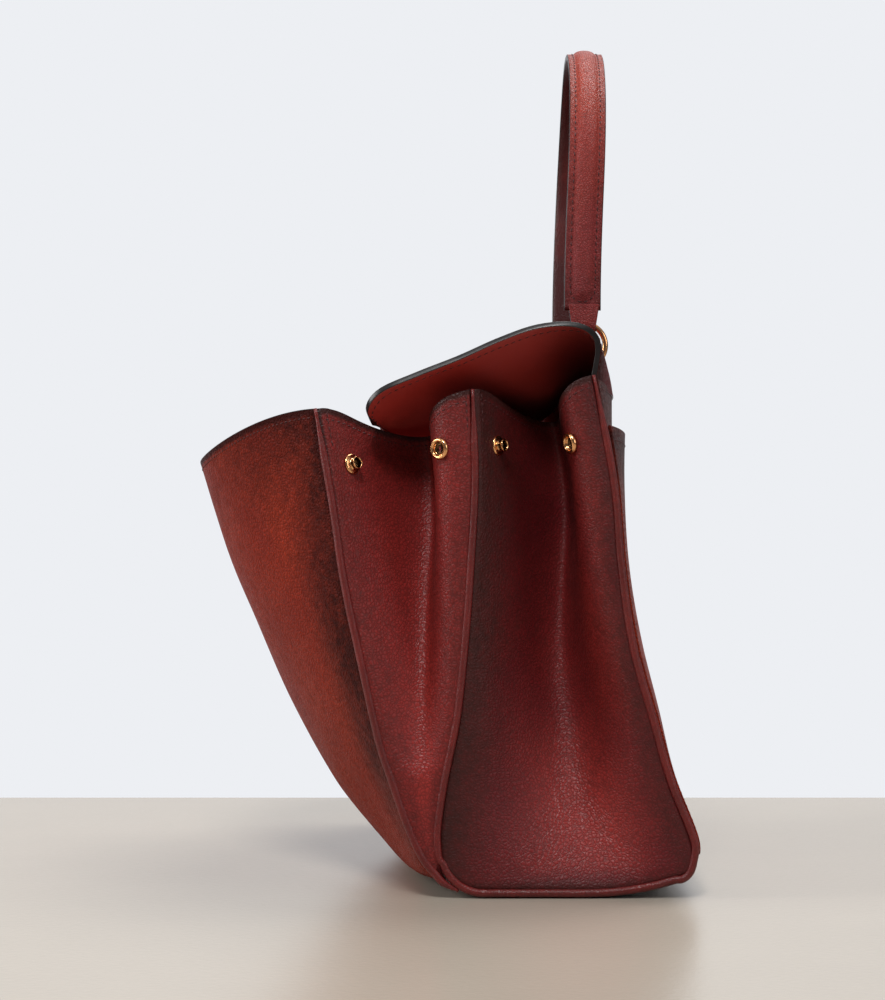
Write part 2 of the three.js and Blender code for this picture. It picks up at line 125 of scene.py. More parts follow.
# Gusset fold: across, depth and dip of the pinched section at the top, across and depth of the low one
FOLD_ROWS = (
    (0, 0, 0, 0, 0),
    (0.12, 0.17, 0.08, 0.1, 0.07),
    (0.25, 0.38, 0.42, 0.21, 0.28),
    (0.42, 0.66, 0.74, 0.33, 0.6),
    (0.58, 0.9, 0.95, 0.44, 0.87),
    (0.7, 1, 1, 0.53, 0.99),
    (0.762, 0.92, 0.98, 0.6, 0.99),
    (0.765, 0.62, 0.86, 0.67, 0.86),
    (0.735, 0.3, 0.66, 0.74, 0.62),
    (0.75, 0.07, 0.4, 0.81, 0.36),
    (0.82, -0.03, 0.15, 0.88, 0.14),
    (0.91, -0.03, 0.03, 0.94, 0.03),
    (1, 0, 0, 1, 0),
)
FRONT_GUSSET_START = 0.05
FRONT_FOLD_DEPTH = 57.0
FRONT_FOLD_GROWTH = (0.33, 1.14)
FRONT_LEVEL_SHARE = 0.5
FOLD_DIP = 20.0
PINCH = (0.45, 0.97)
RIDGE_REACH = 0.055

# Flap from its seam to its front edge: half width, edge Y, Z, middle Y, Z and how late it curls
FLAP_ROWS = (
    (163, 14, 256.5, 29, 252, 4),
    (163, 16.9, 275.2, 26.6, 262.4, 3),
    (163, 13.2, 283.6, 18.6, 264.1, 3),
    (163, 3, 287.2, 9.2, 260.8, 3),
    (163, -14, 285.9, -3.5, 246.5, 3),
    (163, -33, 279.3, -16, 241, 3),
    (163, -53, 270.3, -32, 241.1, 3),
    (162.5, -74, 262, -49, 240.3, 3),
    (161.5, -92.5, 253.8, -65, 237.4, 4),
    (155, -99.2, 244.8, -78, 235, 5),
    (140, -95.4, 237, -86, 233.5, 3),
)

# Back pocket as shares of the back panel, and how far its mouth stands off
POCKET_WIDTH_SHARE = 0.96
POCKET_BOTTOM_SHARE = 0.08
POCKET_TOP_SHARE = 0.934
POCKET_STANDOFF = 1.95
POCKET_LIFT = 6.0
POCKET_LIFT_POWER = 1.5
POCKET_STITCH_SINK = 0.25

# Handle, its rings and the leather that holds them
HANDLE_HALF_SPAN = 80.0
HANDLE_TOP = 445.5
HANDLE_BOTTOM = 301.0
HANDLE_BOTTOM_Y = 13.2
HANDLE_LEAN = 4.2
HANDLE_TAIL = 1.5
HANDLE_EDGE = 0.965
# Heights where the strap turns lighter towards its top and darker at its lower ends: worn leather, painted
# light from above and painted shade below
HANDLE_WORN_AND_LIT = (330, 435)
HANDLE_SHADED = (303, 335)
HANDLE_HALF_WIDTH = 9.7
HANDLE_HALF_THICKNESS = 1.5
PAD_HALF_WIDTH = 5.6
PAD_END = 4.0
PAD_HEIGHT = 2.1
PAD_CROWN = 2.4
PAD_SHOULDER = 0.7
PAD_STITCH_GAP = 1.0
PAD_STITCH_LIFT = 0.05
RING_STAND = 14.9
RING_RADIUS = 11.5
RING_WIRE = 1.5
CREST_SHARE = 0.2475
CREST_SPAN = (0.08, 0.6)
TAB_WRAP = 1.1
TAB_OVERLAP = 1.8
TAB_BEND_SHARE = 0.3
TAB_HALF_WIDTHS = (6.3, 8.2)
TAB_REACH = 8.0
TAB_LEG_STAND = 2.5
CHAPE_LENGTH = 38.0
CHAPE_WIDTH = 9.0
CHAPE_FOOT = 2.5
CHAPE_BRIDGE = (0.18, 0.45)
CHAPE_WRAP = 1.0

# Snap sections from the leather outwards: radius and height
STUD_SECTION = (
    (0, -0.6), (4.9, -0.6), (5.2, 0.0), (5.0, 0.45), (4.2, 0.7), (3.1, 0.9), (2.5, 1.3), (2.35, 2.2),
    (2.5, 2.9), (3.15, 3.4), (3.25, 3.8), (3.05, 4.1), (2.7, 4.1), (2.5, 3.7), (2.1, 2.4), (2.05, 1.2),
    (0, 1.1),
)
SOCKET_SECTION = (
    (0, -0.6), (5.1, -0.6), (5.5, 0.1), (5.6, 0.8), (5.35, 1.5), (4.75, 1.95), (4.1, 1.95), (3.6, 1.6),
    (3.35, 1.0), (3.3, 0.0), (2.6, -0.1), (2.35, 0.35), (2.0, 0.35), (1.8, -0.1), (0, -0.15),
)
STUD_HOLLOW = 2.51
SOCKET_HOLLOW = 3.34
SNAP_STAND = 0.2

# Snap places: name, gusset, section and its hollow, share across the fold and share of the height
SNAPS = (
    ("snap_stud_front", "front", STUD_SECTION, STUD_HOLLOW, 0.112, 0.926),
    ("snap_socket_front", "front", SOCKET_SECTION, SOCKET_HOLLOW, 0.797, 0.935),
    ("snap_stud_back", "back", STUD_SECTION, STUD_HOLLOW, 0.114, 0.921),
    ("snap_socket_back", "back", SOCKET_SECTION, SOCKET_HOLLOW, 0.763, 0.927),
)
SIDES = (("right", 1), ("left", -1))


def mix(a, b, share):
    return a + (b - a) * share


def smooth(low, high, value):
    share = min(max((value - low) / (high - low), 0.0), 1.0)
    return share * share * (3 - 2 * share)


def row_line(rows, *columns):
    """Give the smooth line through some columns of a table, by share of its rows."""
    points = [Vector([row[column] for column in columns]) for row in rows]
    points.insert(0, points[0] * 2 - points[1])
    points.append(points[-1] * 2 - points[-2])
    spans = len(points) - 3

    @lru_cache(maxsize=None)
    def at(share):
        place = min(max(share, 0.0), 1.0) * spans
        first = min(int(place), spans - 1)
        t = place - first
        before, start, end, after = points[first:first + 4]
        leave = (end - before) * 0.5
        arrive = (after - start) * 0.5
        square = (end - start) * 3 - leave * 2 - arrive
        cube = (start - end) * 2 + leave + arrive
        return start + leave * t + square * t * t + cube * t ** 3

    return at


front_seam = row_line(FRONT_ROWS, 0, 1, 2)
front_middle = row_line(FRONT_ROWS, 3, 4)
divider_seam = row_line(SIDE_ROWS, 0, 1)
back_seam = row_line(SIDE_ROWS, 2, 3)
bow_and_fold = row_line(SIDE_ROWS, 4, 5)
fold_section = row_line(FOLD_ROWS, 0, 1, 2)
low_section = row_line(FOLD_ROWS, 3, 4, 2)
flap_edge = row_line(FLAP_ROWS, 0, 1, 2)
flap_middle = row_line(FLAP_ROWS, 3, 4, 5)


def base_height(y):
    """Height of the base seam's centre line at a depth y."""
    if y < SOLE_FRONT:
        run = min(SOLE_FRONT - y, FRONT_CORNER_RADIUS)
        return SEAM_HEIGHT + FRONT_CORNER_RADIUS - math.sqrt(FRONT_CORNER_RADIUS ** 2 - run ** 2)
    run = max(0.0, (y - SOLE_BACK) / (BASE_BACK - SOLE_BACK))
    return SEAM_HEIGHT + BACK_RISE * run ** RISE_POWER


def front_panel_point(across, up):
    seam = front_seam(up)
    middle = front_middle(up)
    bow = max(0.0, 1 - abs(across) ** FRONT_BOW_POWER)
    x = across * (seam.x - TUCK)
    drop = bow ** mix(*FRONT_DROP_POWERS, smooth(*FRONT_DROP_CHANGE, up))
    return Vector((x, mix(seam.y, middle.x, bow), mix(seam.z, middle.y, drop)))


def divider_point(across, up):
    seam = divider_seam(up)
    bow = 1 - across ** 2
    return Vector((across * (HALF_WIDTH - TUCK), seam.x, seam.y - DIVIDER_DIP * up ** 2 * bow))


def back_panel_point(across, up):
    seam = back_seam(up)
    bow = 1 - abs(across) ** BACK_BOW_POWER
    z = seam.y - BACK_DIP * max(up, 0.0) ** BACK_DIP_POWER * bow
    return Vector((across * (HALF_WIDTH - TUCK), seam.x + bow_and_fold(up).x * bow, z))


def base_point(across, along):
    y = mix(BASE_FRONT, BASE_BACK, along)
    return Vector((-across * (HALF_WIDTH - TUCK), y, base_height(y) - SEAM_HEIGHT + BASE_HALF_THICKNESS))


def flap_point(across, along):
    edge = flap_edge(along)
    middle = flap_middle(along)
    bow = 1 - abs(across) ** middle.z
    return Vector((across * edge.x, mix(edge.y, middle.x, bow), mix(edge.z, middle.y, bow)))


CREST = flap_point(HANDLE_HALF_SPAN / HALF_WIDTH, CREST_SHARE)
RING_CENTRE = Vector((HANDLE_HALF_SPAN, CREST.y, CREST.z + RING_STAND))


def pocket_seat(across, up):
    height = mix(POCKET_BOTTOM_SHARE, POCKET_TOP_SHARE, up)
    return back_panel_point(across * POCKET_WIDTH_SHARE, height)


def pocket_point(across, up):
    lift = POCKET_LIFT * max(up, 0.0) ** POCKET_LIFT_POWER * (1 - abs(across) ** BACK_BOW_POWER)
    return pocket_seat(across, up) - surface_normal(pocket_seat, across, up) * (POCKET_STANDOFF + lift)


def rounded(section, share):
    """Place on a fold's section, with its ridges rounded by what lies to either side."""
    reach = min(RIDGE_REACH, share, 1 - share)
    return section(share) * 0.5 + (section(share - reach) + section(share + reach)) * 0.25


def gusset_point(seam_a, seam_b, depth, up, fold_share):
    """Point of a folded side wall between two seam points, on the right side."""
    low = rounded(low_section, fold_share)
    fold = low.lerp(rounded(fold_section, fold_share), smooth(*PINCH, up))
    width = math.hypot(seam_b.y - seam_a.y, seam_b.z - seam_a.z)
    edge = TUCK / width
    across = mix(edge, 1 - edge, fold.x)
    place = seam_a.lerp(seam_b, across)
    return place - Vector((depth * fold.y, 0.0, FOLD_DIP * up ** 3 * fold.z))


def last_place(low, high, holds, halvings):
    """Place from low to high up to which a test holds, found by halving."""
    for _ in range(halvings):
        middle = (low + high) / 2
        if holds(middle):
            low = middle
        else:
            high = middle
    return low


@lru_cache(maxsize=None)
def divider_across_from(up):
    """Divider seam opposite a place on the front seam: level below, and top against top."""
    lift = divider_seam(1).y - front_seam(1).z
    height = front_seam(up).z + lift * smooth(FRONT_LEVEL_SHARE, 1.0, up)
    level = last_place(0.0, 1.0, lambda share: divider_seam(share).y < height, 30)
    return Vector((HALF_WIDTH, *divider_seam(level)))


def front_gusset_point(fold_share, share):
    up = mix(FRONT_GUSSET_START, 1.0, share)
    depth = FRONT_FOLD_DEPTH * smooth(*FRONT_FOLD_GROWTH, share)
    return gusset_point(front_seam(up), divider_across_from(up), depth, up, fold_share)


def back_gusset_point(fold_share, up):
    seam_a = Vector((HALF_WIDTH, *divider_seam(up)))
    seam_b = Vector((HALF_WIDTH, *back_seam(up)))
    point = gusset_point(seam_a, seam_b, bow_and_fold(up).y, up, fold_share)
    low_a = Vector((HALF_WIDTH, *divider_seam(0)))
    low_b = Vector((HALF_WIDTH, *back_seam(0)))
    ground = gusset_point(low_a, low_b, 0.0, 0.0, fold_share)
    bottom = base_height(ground.y) + TUCK
    point.z += min(0.0, bottom - ground.z) * (1 - up) ** 3
    return point


GUSSETS = {"front": front_gusset_point, "back": back_gusset_point}


def surface_normal(shape, a, b):
    """Unit normal of a surface, from its two directions."""
    step = 1e-3
    along_a = shape(a + step, b) - shape(a - step, b)
    along_b = shape(a, min(1.0, b + step)) - shape(a, max(0.0, b - step))
    return along_a.cross(along_b).normalized()


def mirrored(point, side):
    return Vector((point.x * side, point.y, point.z))


def paint(code):
    """Linear colour of a six digit screen colour."""
    parts = [int(code[place:place + 2], 16) / 255 for place in (0, 2, 4)]
    return tuple(((part + 0.055) / 1.055) ** 2.4 if part > 0.04045 else part / 12.92 for part in parts)


def colour_property(name, description, code):
    return FloatVectorProperty(
        name=name, description=description, default=paint(code), min=0.0, max=1.0, subtype="COLOR"
    )


def length_property(name, description, default):
    return FloatProperty(name=name, description=description, default=default, min=0.0, unit="LENGTH")


class BagSizes(PropertyGroup):
    """Thickness of the leather and sizes of its sewing."""

    body_leather: length_property("Body leather", "Thickness of the panels", 0.002)
    gusset_leather: length_property("Gusset leather", "Thickness of the folded side walls", 0.0016)
    flap_leather: length_property("Flap leather", "Thickness of the lined flap", 0.003)
    base_leather: length_property("Base leather", "Thickness of the bottom", 0.003)
    pocket_leather: length_property("Pocket leather", "Thickness of the back pocket", 0.0018)
    strap_leather: length_property("Small leather", "Thickness of the tabs and ring bridges", 0.0017)
    piping_radius: length_property("Piping radius", "Radius of the piping cord", 0.002)
    stitch_length: length_property("Stitch length", "Length of one stitch that shows", 0.0027)
    stitch_width: length_property("Stitch width", "Thickness of the thread", 0.0007)
    stitch_pitch: length_property("Stitch pitch", "From one stitch to the next", 0.0037)
    cell: length_property("Cell", "Size of a mesh cell on the leather", 0.003)
    cord_sides: IntProperty(name="Cord sides", description="Faces round the piping", default=14, min=6)


class BagColours(PropertyGroup):
    """Colours of the leather, thread, metal and stage."""

    burgundy: colour_property("Burgundy", "Side walls, divider and flap", "601519")
    rust: colour_property("Rust", "Worn middle of the panels", "993523")
    # Burnished also serves for painted shade: seam shadows, under the flap and low on the side walls
    burnished: colour_property("Burnished", "Dark leather along seams and edges", "36120f")
    # Warm red also paints light: the lit folds, lobes and lower middle of the side walls
    warm_red: colour_property("Warm red", "Worn middle of the side walls", "932c28")
    piping: colour_property("Piping", "Piping cord leather", "401416")
    lining: colour_property("Lining", "Smooth inner leather", "98261e")
    # Terracotta paints the handle's lighter top: worn leather and painted light from above
    terracotta: colour_property("Terracotta", "Worn top of the handle", "9f3d2e")
    handle_brown: colour_property("Handle brown", "Lower ends of the handle", "823031")
    edge_paint: colour_property("Edge paint", "Painted cut edges", "110c0c")
    thread: colour_property("Thread", "Sewing thread", "381011")
    gold: colour_property("Gold", "Snaps and rings", "f0b27c")
    floor: colour_property("Floor", "Pale floor", "a99f91")
    backdrop: colour_property("Backdrop", "Pale studio wall", "edeff3")


def sizes():
    return bpy.context.scene.bag_sizes


def colours():
    return bpy.context.scene.bag_colours


def fill(tree, made, inputs):
    """Link the inputs that are given a socket, and set the others to their value."""
    for key, value in inputs.items():
        if isinstance(value, bpy.types.NodeSocket):
            tree.links.new(value, made.inputs[key])
        else:
            made.inputs[key].default_value = value


def node(tree, kind, inputs=None, **settings):
    """Add a shader node with its settings and inputs."""
    made = tree.nodes.new(kind)
    for key, value in settings.items():
        setattr(made, key, value)
    fill(tree, made, inputs or {})
    return made


def reckon(tree, operation, *values, clamp=False):
    """Output of a maths node."""
    made = node(tree, "ShaderNodeMath", dict(enumerate(values)), operation=operation, use_clamp=clamp)
    return made.outputs[0]


def tint(tree, share, first, second):
    """Colour mixed from two by a share; each is a socket or a plain colour."""
    inputs = {0: share}
    for key, colour in ((6, first), (7, second)):
        inputs[key] = colour if isinstance(colour, bpy.types.NodeSocket) else (*colour, 1.0)
    return node(tree, "ShaderNodeMix", inputs, data_type="RGBA").outputs[2]


def scaled(colour, factor):
    return tuple(part * factor for part in colour)


def mottle(tree, place, scale, detail, roughness=0.55):
    inputs = {"Vector": place, "Scale": scale, "Detail": detail, "Roughness": roughness}
    return node(tree, "ShaderNodeTexNoise", inputs).outputs["Fac"]


def span(tree, value, low, high, out_low=0.0, out_high=1.0):
    inputs = {"Value": value, "From Min": low, "From Max": high, "To Min": out_low, "To Max": out_high}
    return node(tree, "ShaderNodeMapRange", inputs).outputs["Result"]


def attribute(tree, name):
    return node(tree, "ShaderNodeAttribute", attribute_name=name).outputs["Fac"]


def raised(tree, height, strength, distance, under=None):
    """Normal of a surface raised by a height, over another one if given."""
    inputs = {"Height": height, "Strength": strength, "Distance": distance}
    if under is not None:
        inputs["Normal"] = under
    return node(tree, "ShaderNodeBump", inputs).outputs["Normal"]


def new_finish(name):
    material = bpy.data.materials.new(name)
    material.use_nodes = True
    tree = material.node_tree
    place = node(tree, "ShaderNodeTexCoord").outputs["Object"]
    return material, tree, tree.nodes["Principled BSDF"], place


# Leather: its clouds, flecks and pores in cells per metre, then how far they change colour, gloss and height
CLOUDS = 24.0
FLECKS = 210.0
PORES = 2200.0
UNEVEN = 1.1
CLOUD_DARK = 0.5
BURNISH_GAIN = 1.15
SEAM_SHADE = 0.22
CREASE_REACH = 0.6
CREASE_DARK = 0.5
GLOSS_SPREAD = 0.3
WORN_GLOSS = -0.12
PEBBLE_EDGE = 0.3
PEBBLE_HEIGHT = 0.0006
FINE_HEIGHT = 0.0002

# Leather finishes: plain and worn colour, roughness, grain, cells per metre and shine; the worn colour also
# serves for painted highlights on the side walls and the handle's top
LEATHERS = {
    "panel_leather": ("burgundy", "rust", 0.54, 0.8, 480.0, 0.035),
    "side_leather": ("burgundy", "warm_red", 0.5, 0.37, 540.0, 0.26),
    "sole_leather": ("burnished", "piping", 0.5, 0.35, 520.0, 0.2),
    "piping_leather": ("piping", "warm_red", 0.4, 0.25, 800.0, 0.35),
    "strap_leather": ("handle_brown", "terracotta", 0.48, 0.45, 780.0, 0.18),
}


def grain_height(tree, place, cells):
    """Pebbles of leather grain, parted by creases."""
    bend = node(tree, "ShaderNodeTexNoise", {"Vector": place, "Scale": cells * 0.8, "Detail": 2.0})
    inputs = {0: bend.outputs["Color"], 1: (0.9 / cells,) * 3, 2: place}
    bent = node(tree, "ShaderNodeVectorMath", inputs, operation="MULTIPLY_ADD").outputs[0]
    inputs = {"Vector": bent, "Scale": cells}
    pebble = node(tree, "ShaderNodeTexVoronoi", inputs, feature="DISTANCE_TO_EDGE")
    return span(tree, pebble.outputs["Distance"], 0.0, PEBBLE_EDGE)


def leather_finish(name, plain, worn, burnished, roughness, grain, cells, shine):
    """Grained leather, worn and burnished where the piece's attributes say so, and with the painted shade
    and painted light that these attributes also carry.
    """
    material, tree, shader, place = new_finish(name)
    cloud = mottle(tree, place, CLOUDS, 5.0, 0.6)
    fleck = mottle(tree, place, FLECKS, 4.0, 0.65)
    patina_and_light = attribute(tree, "patina_and_light")
    burnish = attribute(tree, "burnish")

    worn_share = reckon(tree, "MULTIPLY_ADD", cloud, UNEVEN, -UNEVEN / 2)
    worn_share = reckon(tree, "ADD", worn_share, patina_and_light, clamp=True)
    colour = tint(tree, worn_share, plain, worn)
    dark_share = reckon(tree, "MULTIPLY_ADD", fleck, UNEVEN, -UNEVEN / 2)
    dark_share = reckon(tree, "MULTIPLY_ADD", cloud, CLOUD_DARK, dark_share)
    dark_share = reckon(tree, "SUBTRACT", dark_share, CLOUD_DARK / 2)
    dark_share = reckon(tree, "MULTIPLY_ADD", burnish, BURNISH_GAIN, dark_share, clamp=True)
    colour = tint(tree, dark_share, colour, burnished)
    # Past a burnish value of one, in the seams' grooves, the colour goes near black: painted shadow beside
    # the piping
    seam_shadow_share = reckon(tree, "SUBTRACT", burnish, 1.0, clamp=True)
    colour = tint(tree, seam_shadow_share, colour, scaled(burnished, SEAM_SHADE))

    pebbles = grain_height(tree, place, cells)
    crease = span(tree, pebbles, 0.0, CREASE_REACH, CREASE_DARK, 0.0)
    gloss = reckon(tree, "MULTIPLY_ADD", fleck, GLOSS_SPREAD, roughness - GLOSS_SPREAD / 2)
    normal = raised(tree, pebbles, grain, PEBBLE_HEIGHT)
    fill(tree, shader, {
        "Base Color": tint(tree, crease, colour, burnished),
        "Roughness": reckon(tree, "MULTIPLY_ADD", patina_and_light, WORN_GLOSS, gloss),
        "Normal": raised(tree, mottle(tree, place, PORES, 3.0), grain * 0.5, FINE_HEIGHT, normal),
        "Specular IOR Level": shine,
    })
    return material


def lining_finish(name, plain, worn):
    """Fine smooth lining leather, with painted shade that darkens it where it lies deep inside."""
    material, tree, shader, place = new_finish(name)
    cloud = mottle(tree, place, 18.0, 4.0)
    fine = mottle(tree, place, 1500.0, 4.0)
    colour = tint(tree, span(tree, cloud, 0.35, 0.65), plain, worn)
    # A low patina value paints shade on the lining, down to a quarter of its colour
    lit = span(tree, attribute(tree, "patina_and_light"), 0.0, 0.5)
    fill(tree, shader, {
        "Base Color": tint(tree, lit, scaled(plain, 0.25), colour),
        "Roughness": reckon(tree, "MULTIPLY_ADD", fine, 0.16, 0.42),
        "Normal": raised(tree, fine, 0.22, FINE_HEIGHT),
    })
    return material


def edge_finish(name, colour):
    """Layered edge paint with a soft shine."""
    material, tree, shader, place = new_finish(name)
    patch = mottle(tree, place, 140.0, 4.0)
    lighter = tuple(part * 1.7 + 0.002 for part in colour)
    fill(tree, shader, {
        "Base Color": tint(tree, span(tree, patch, 0.35, 0.7), colour, lighter),
        "Roughness": span(tree, patch, 0.2, 0.8, 0.26, 0.4),
        "Normal": raised(tree, patch, 0.2, 0.0004),
        "Specular IOR Level": 0.4,
    })
    return material


def thread_finish(name, colour):
    """Waxed sewing thread."""
    material, tree, shader, place = new_finish(name)
    twist = mottle(tree, place, 1800.0, 2.0)
    fill(tree, shader, {
        "Base Color": tint(tree, span(tree, twist, 0.3, 0.7), colour, scaled(colour, 1.6)),
        "Roughness": 0.6,
        "Normal": raised(tree, twist, 0.5, FINE_HEIGHT),
    })
    return material


def gold_finish(name, colour):
    """Polished plated metal with faint rubbing."""
    material, tree, shader, place = new_finish(name)
    rub = mottle(tree, place, 420.0, 5.0, 0.7)
    fill(tree, shader, {
        "Base Color": tint(tree, span(tree, rub, 0.3, 0.75), colour, scaled(colour, 0.72)),
        "Roughness": span(tree, rub, 0.25, 0.8, 0.12, 0.3),
        "Normal": raised(tree, rub, 0.05, FINE_HEIGHT),
        "Metallic": 1.0,
    })
    return material


def floor_finish(name, colour):
    """Pale plaster with a low sheen."""
    material, tree, shader, place = new_finish(name)
    patch = mottle(tree, place, 5.0, 6.0, 0.6)
    speck = mottle(tree, place, 260.0, 4.0, 0.6)
    share = reckon(tree, "MULTIPLY_ADD", speck, 0.5, span(tree, patch, 0.3, 0.7, 0.0, 0.5))
    fill(tree, shader, {
        "Base Color": tint(tree, share, colour, scaled(colour, 1.12)),
        "Roughness": 0.26,
        "Normal": raised(tree, speck, 0.15, 0.001),
    })
    return material


def finish_named(name):
    """A finish of the bag or its floor, made the first time that it is asked for."""
    made = bpy.data.materials.get(name)
    if made is not None:
        return made
    tones = colours()
    if name in LEATHERS:
        plain, worn, *feel = LEATHERS[name]
        return leather_finish(name, getattr(tones, plain), getattr(tones, worn), tones.burnished, *feel)
    makers = {
        "lining_leather": lambda: lining_finish(name, tones.lining, tones.warm_red),
        "edge_paint": lambda: edge_finish(name, tones.edge_paint),
        "thread": lambda: thread_finish(name, tones.thread),
        "gold": lambda: gold_finish(name, tones.gold),
        # Near black gold inside the snaps' hollows: painted shade
        "painted_shade_gold": lambda: gold_finish(name, scaled(tones.gold, 0.12)),
        "floor_plaster": lambda: floor_finish(name, tones.floor),
    }
    return makers[name]()


def new_object(name, bm, finishes):
    """Turn a mesh into an object of the scene with its finishes."""
    mesh = bpy.data.meshes.new(name)
    bm.to_mesh(mesh)
    bm.free()
    for finish in finishes:
        mesh.materials.append(finish_named(finish))
    made = bpy.data.objects.new(name, mesh)
    bpy.context.collection.objects.link(made)
    return made


def new_piece(name, bm, finishes, nodes):
    """Turn a mesh into a piece of the bag that stands for its nodes and rides on the frame."""
    piece = new_object(name, bm, finishes)
    piece.data.shade_smooth()
    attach(piece, "root")
    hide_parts(*nodes)
    return piece


def leather_piece(node_name, sheet, look, held=None, rests_on="base_panel", name=None, **seams):
    """Make a leather sheet with rounded painted edges.

    The sheet is its shape, extent and thickness; the look is its slot, finishes, marks of use with painted
    light and shade, and lie.
    """
    shape, extent, thickness = sheet
    slot, finishes, wear_and_light, lie = look
    bm = leather_sheet(shape, extent, wear_and_light, soft_lie(*lie), **seams)
    piece = new_piece(name or f"{node_name}_leather", bm, finishes, [node_name])
    wall = piece.modifiers.new("leather", "SOLIDIFY")
    wall.thickness = thickness
    wall.offset = 0.0
    wall.material_offset_rim = 1
    wall.material_offset = 2
    edge = piece.modifiers.new("edge", "BEVEL")
    edge.width = thickness * EDGE_ROUNDING
    edge.segments = 3
    edge.limit_method = "ANGLE"
    edge.angle_limit = math.radians(60)
    if held:
        declare_sheet(shape)


def wear_and_light_layers(bm):
    layers = bm.verts.layers.float
    return layers.new("burnish"), layers.new("patina_and_light")


def leather_sheet(shape, extent, wear_and_light, lie, turn=False, sunk=0.0, foot=FAR_FOOT):
    """Shape a grid into a leather sheet, its seams sunk; foot tells how far its bottom is from one."""
    cells = [max(2, round(length * MM / sizes().cell)) for length in extent]
    bm = bmesh.new()
    bmesh.ops.create_grid(bm, x_segments=cells[0], y_segments=cells[1], size=1.0)
    cut = bm.loops.layers.uv.new("cut")
    burnish, patina_and_light = wear_and_light_layers(bm)
    for face in bm.faces:
        for loop in face.loops:
            loop[cut].uv = loop.vert.co.xy * 0.5 + Vector((0.5, 0.5))
    fade = {}
    groove = {}
    outwards = -1.0 if turn else 1.0
    for vert in bm.verts:
        across = vert.co.x
        if sunk:
            across += SEAM_CROWD / math.pi * math.sin(math.pi * across)
        up = vert.co.y * 0.5 + 0.5
        vert[burnish], vert[patina_and_light] = wear_and_light(across, up)
        if sunk:
            beside = min((1 - abs(across)) * extent[0] / 2, foot + extent[1] * up)
            groove[vert] = 1 - smooth(*SEAM_GROOVE, beside)
            # The groove beside a seam gets a burnish value above one, which paints a dark shadow line beside
            # the piping
            vert[burnish] = max(vert[burnish], SEAM_SHADOW * groove[vert])
        fade[vert] = smooth(0.0, FADE_ACROSS, 1 - abs(across)) * smooth(0.0, FADE_UP, min(up, 1 - up))
        vert.co = shape(across, up) * MM
    bm.normal_update()
    for vert, inside in fade.items():
        off = lie(vert.co) * inside - outwards * sunk * groove.get(vert, 0.0)
        vert.co += vert.normal * (off * MM)
    if turn:
        bmesh.ops.reverse_faces(bm, faces=bm.faces)
    return bm


def spin_round(bm, axis, steps):
    """Turn the outline in a mesh about an axis into a round solid."""
    bmesh.ops.spin(
        bm, geom=list(bm.verts) + list(bm.edges), cent=(0, 0, 0), axis=axis, dvec=(0, 0, 0),
        angle=math.tau, steps=steps, use_merge=True, use_duplicate=False,
    )
    bmesh.ops.remove_doubles(bm, verts=bm.verts, dist=WELD)
    bmesh.ops.recalc_face_normals(bm, faces=bm.faces)


def close_round(bm):
    """Weld a rolled grid along its seam, close its ends and turn its faces outwards."""
    bmesh.ops.remove_doubles(bm, verts=bm.verts, dist=WELD)
    open_edges = [edge for edge in bm.edges if edge.is_boundary]
    bmesh.ops.holes_fill(bm, edges=open_edges, sides=0)
    bmesh.ops.recalc_face_normals(bm, faces=bm.faces)


def cord_mesh(line, rings, radius_at, wear_and_light):
    """Roll a grid into a round cord along a line in millimetres."""
    bm = bmesh.new()
    bmesh.ops.create_grid(bm, x_segments=sizes().cord_sides, y_segments=rings, size=1.0)
    burnish, patina_and_light = wear_and_light_layers(bm)

    @lru_cache(maxsize=None)
    def station(share):
        ahead = (line(share + 1e-3) - line(share - 1e-3)).normalized()
        out = (Vector((1.0, 0.0, 0.0)) - ahead * ahead.x).normalized()
        return line(share), out, ahead.cross(out), radius_at(share)

    for vert in bm.verts:
        angle = round(vert.co.x, 5) * math.pi
        share = round(vert.co.y * 0.5 + 0.5, 6)
        centre, out, side, radius = station(share)
        vert[burnish], vert[patina_and_light] = wear_and_light(share)
        vert.co = (centre + (out * math.cos(angle) + side * math.sin(angle)) * radius) * MM
    close_round(bm)
    return bm


def turned_metal(section, hollow, place, out):
    """Turn a section about its axis and seat it on a place, in millimetres."""
    bm = bmesh.new()
    corners = [bm.verts.new((radius * MM, 0.0, height * MM)) for radius, height in section]
    for pair in zip(corners, corners[1:]):
        bm.edges.new(pair)
    spin_round(bm, (0, 0, 1), 40)
    for face in bm.faces:
        inside = max(vert.co.xy.length for vert in face.verts) < hollow * MM
        # Faces deep inside the hollow take the second finish, near black: painted shade
        face.material_index = int(inside and face.normal.z > -0.5)
    turn = out.to_track_quat("Z", "Y").to_matrix().to_4x4()
    bmesh.ops.transform(bm, matrix=Matrix.Translation(place * MM) @ turn, verts=bm.verts)
    return bm


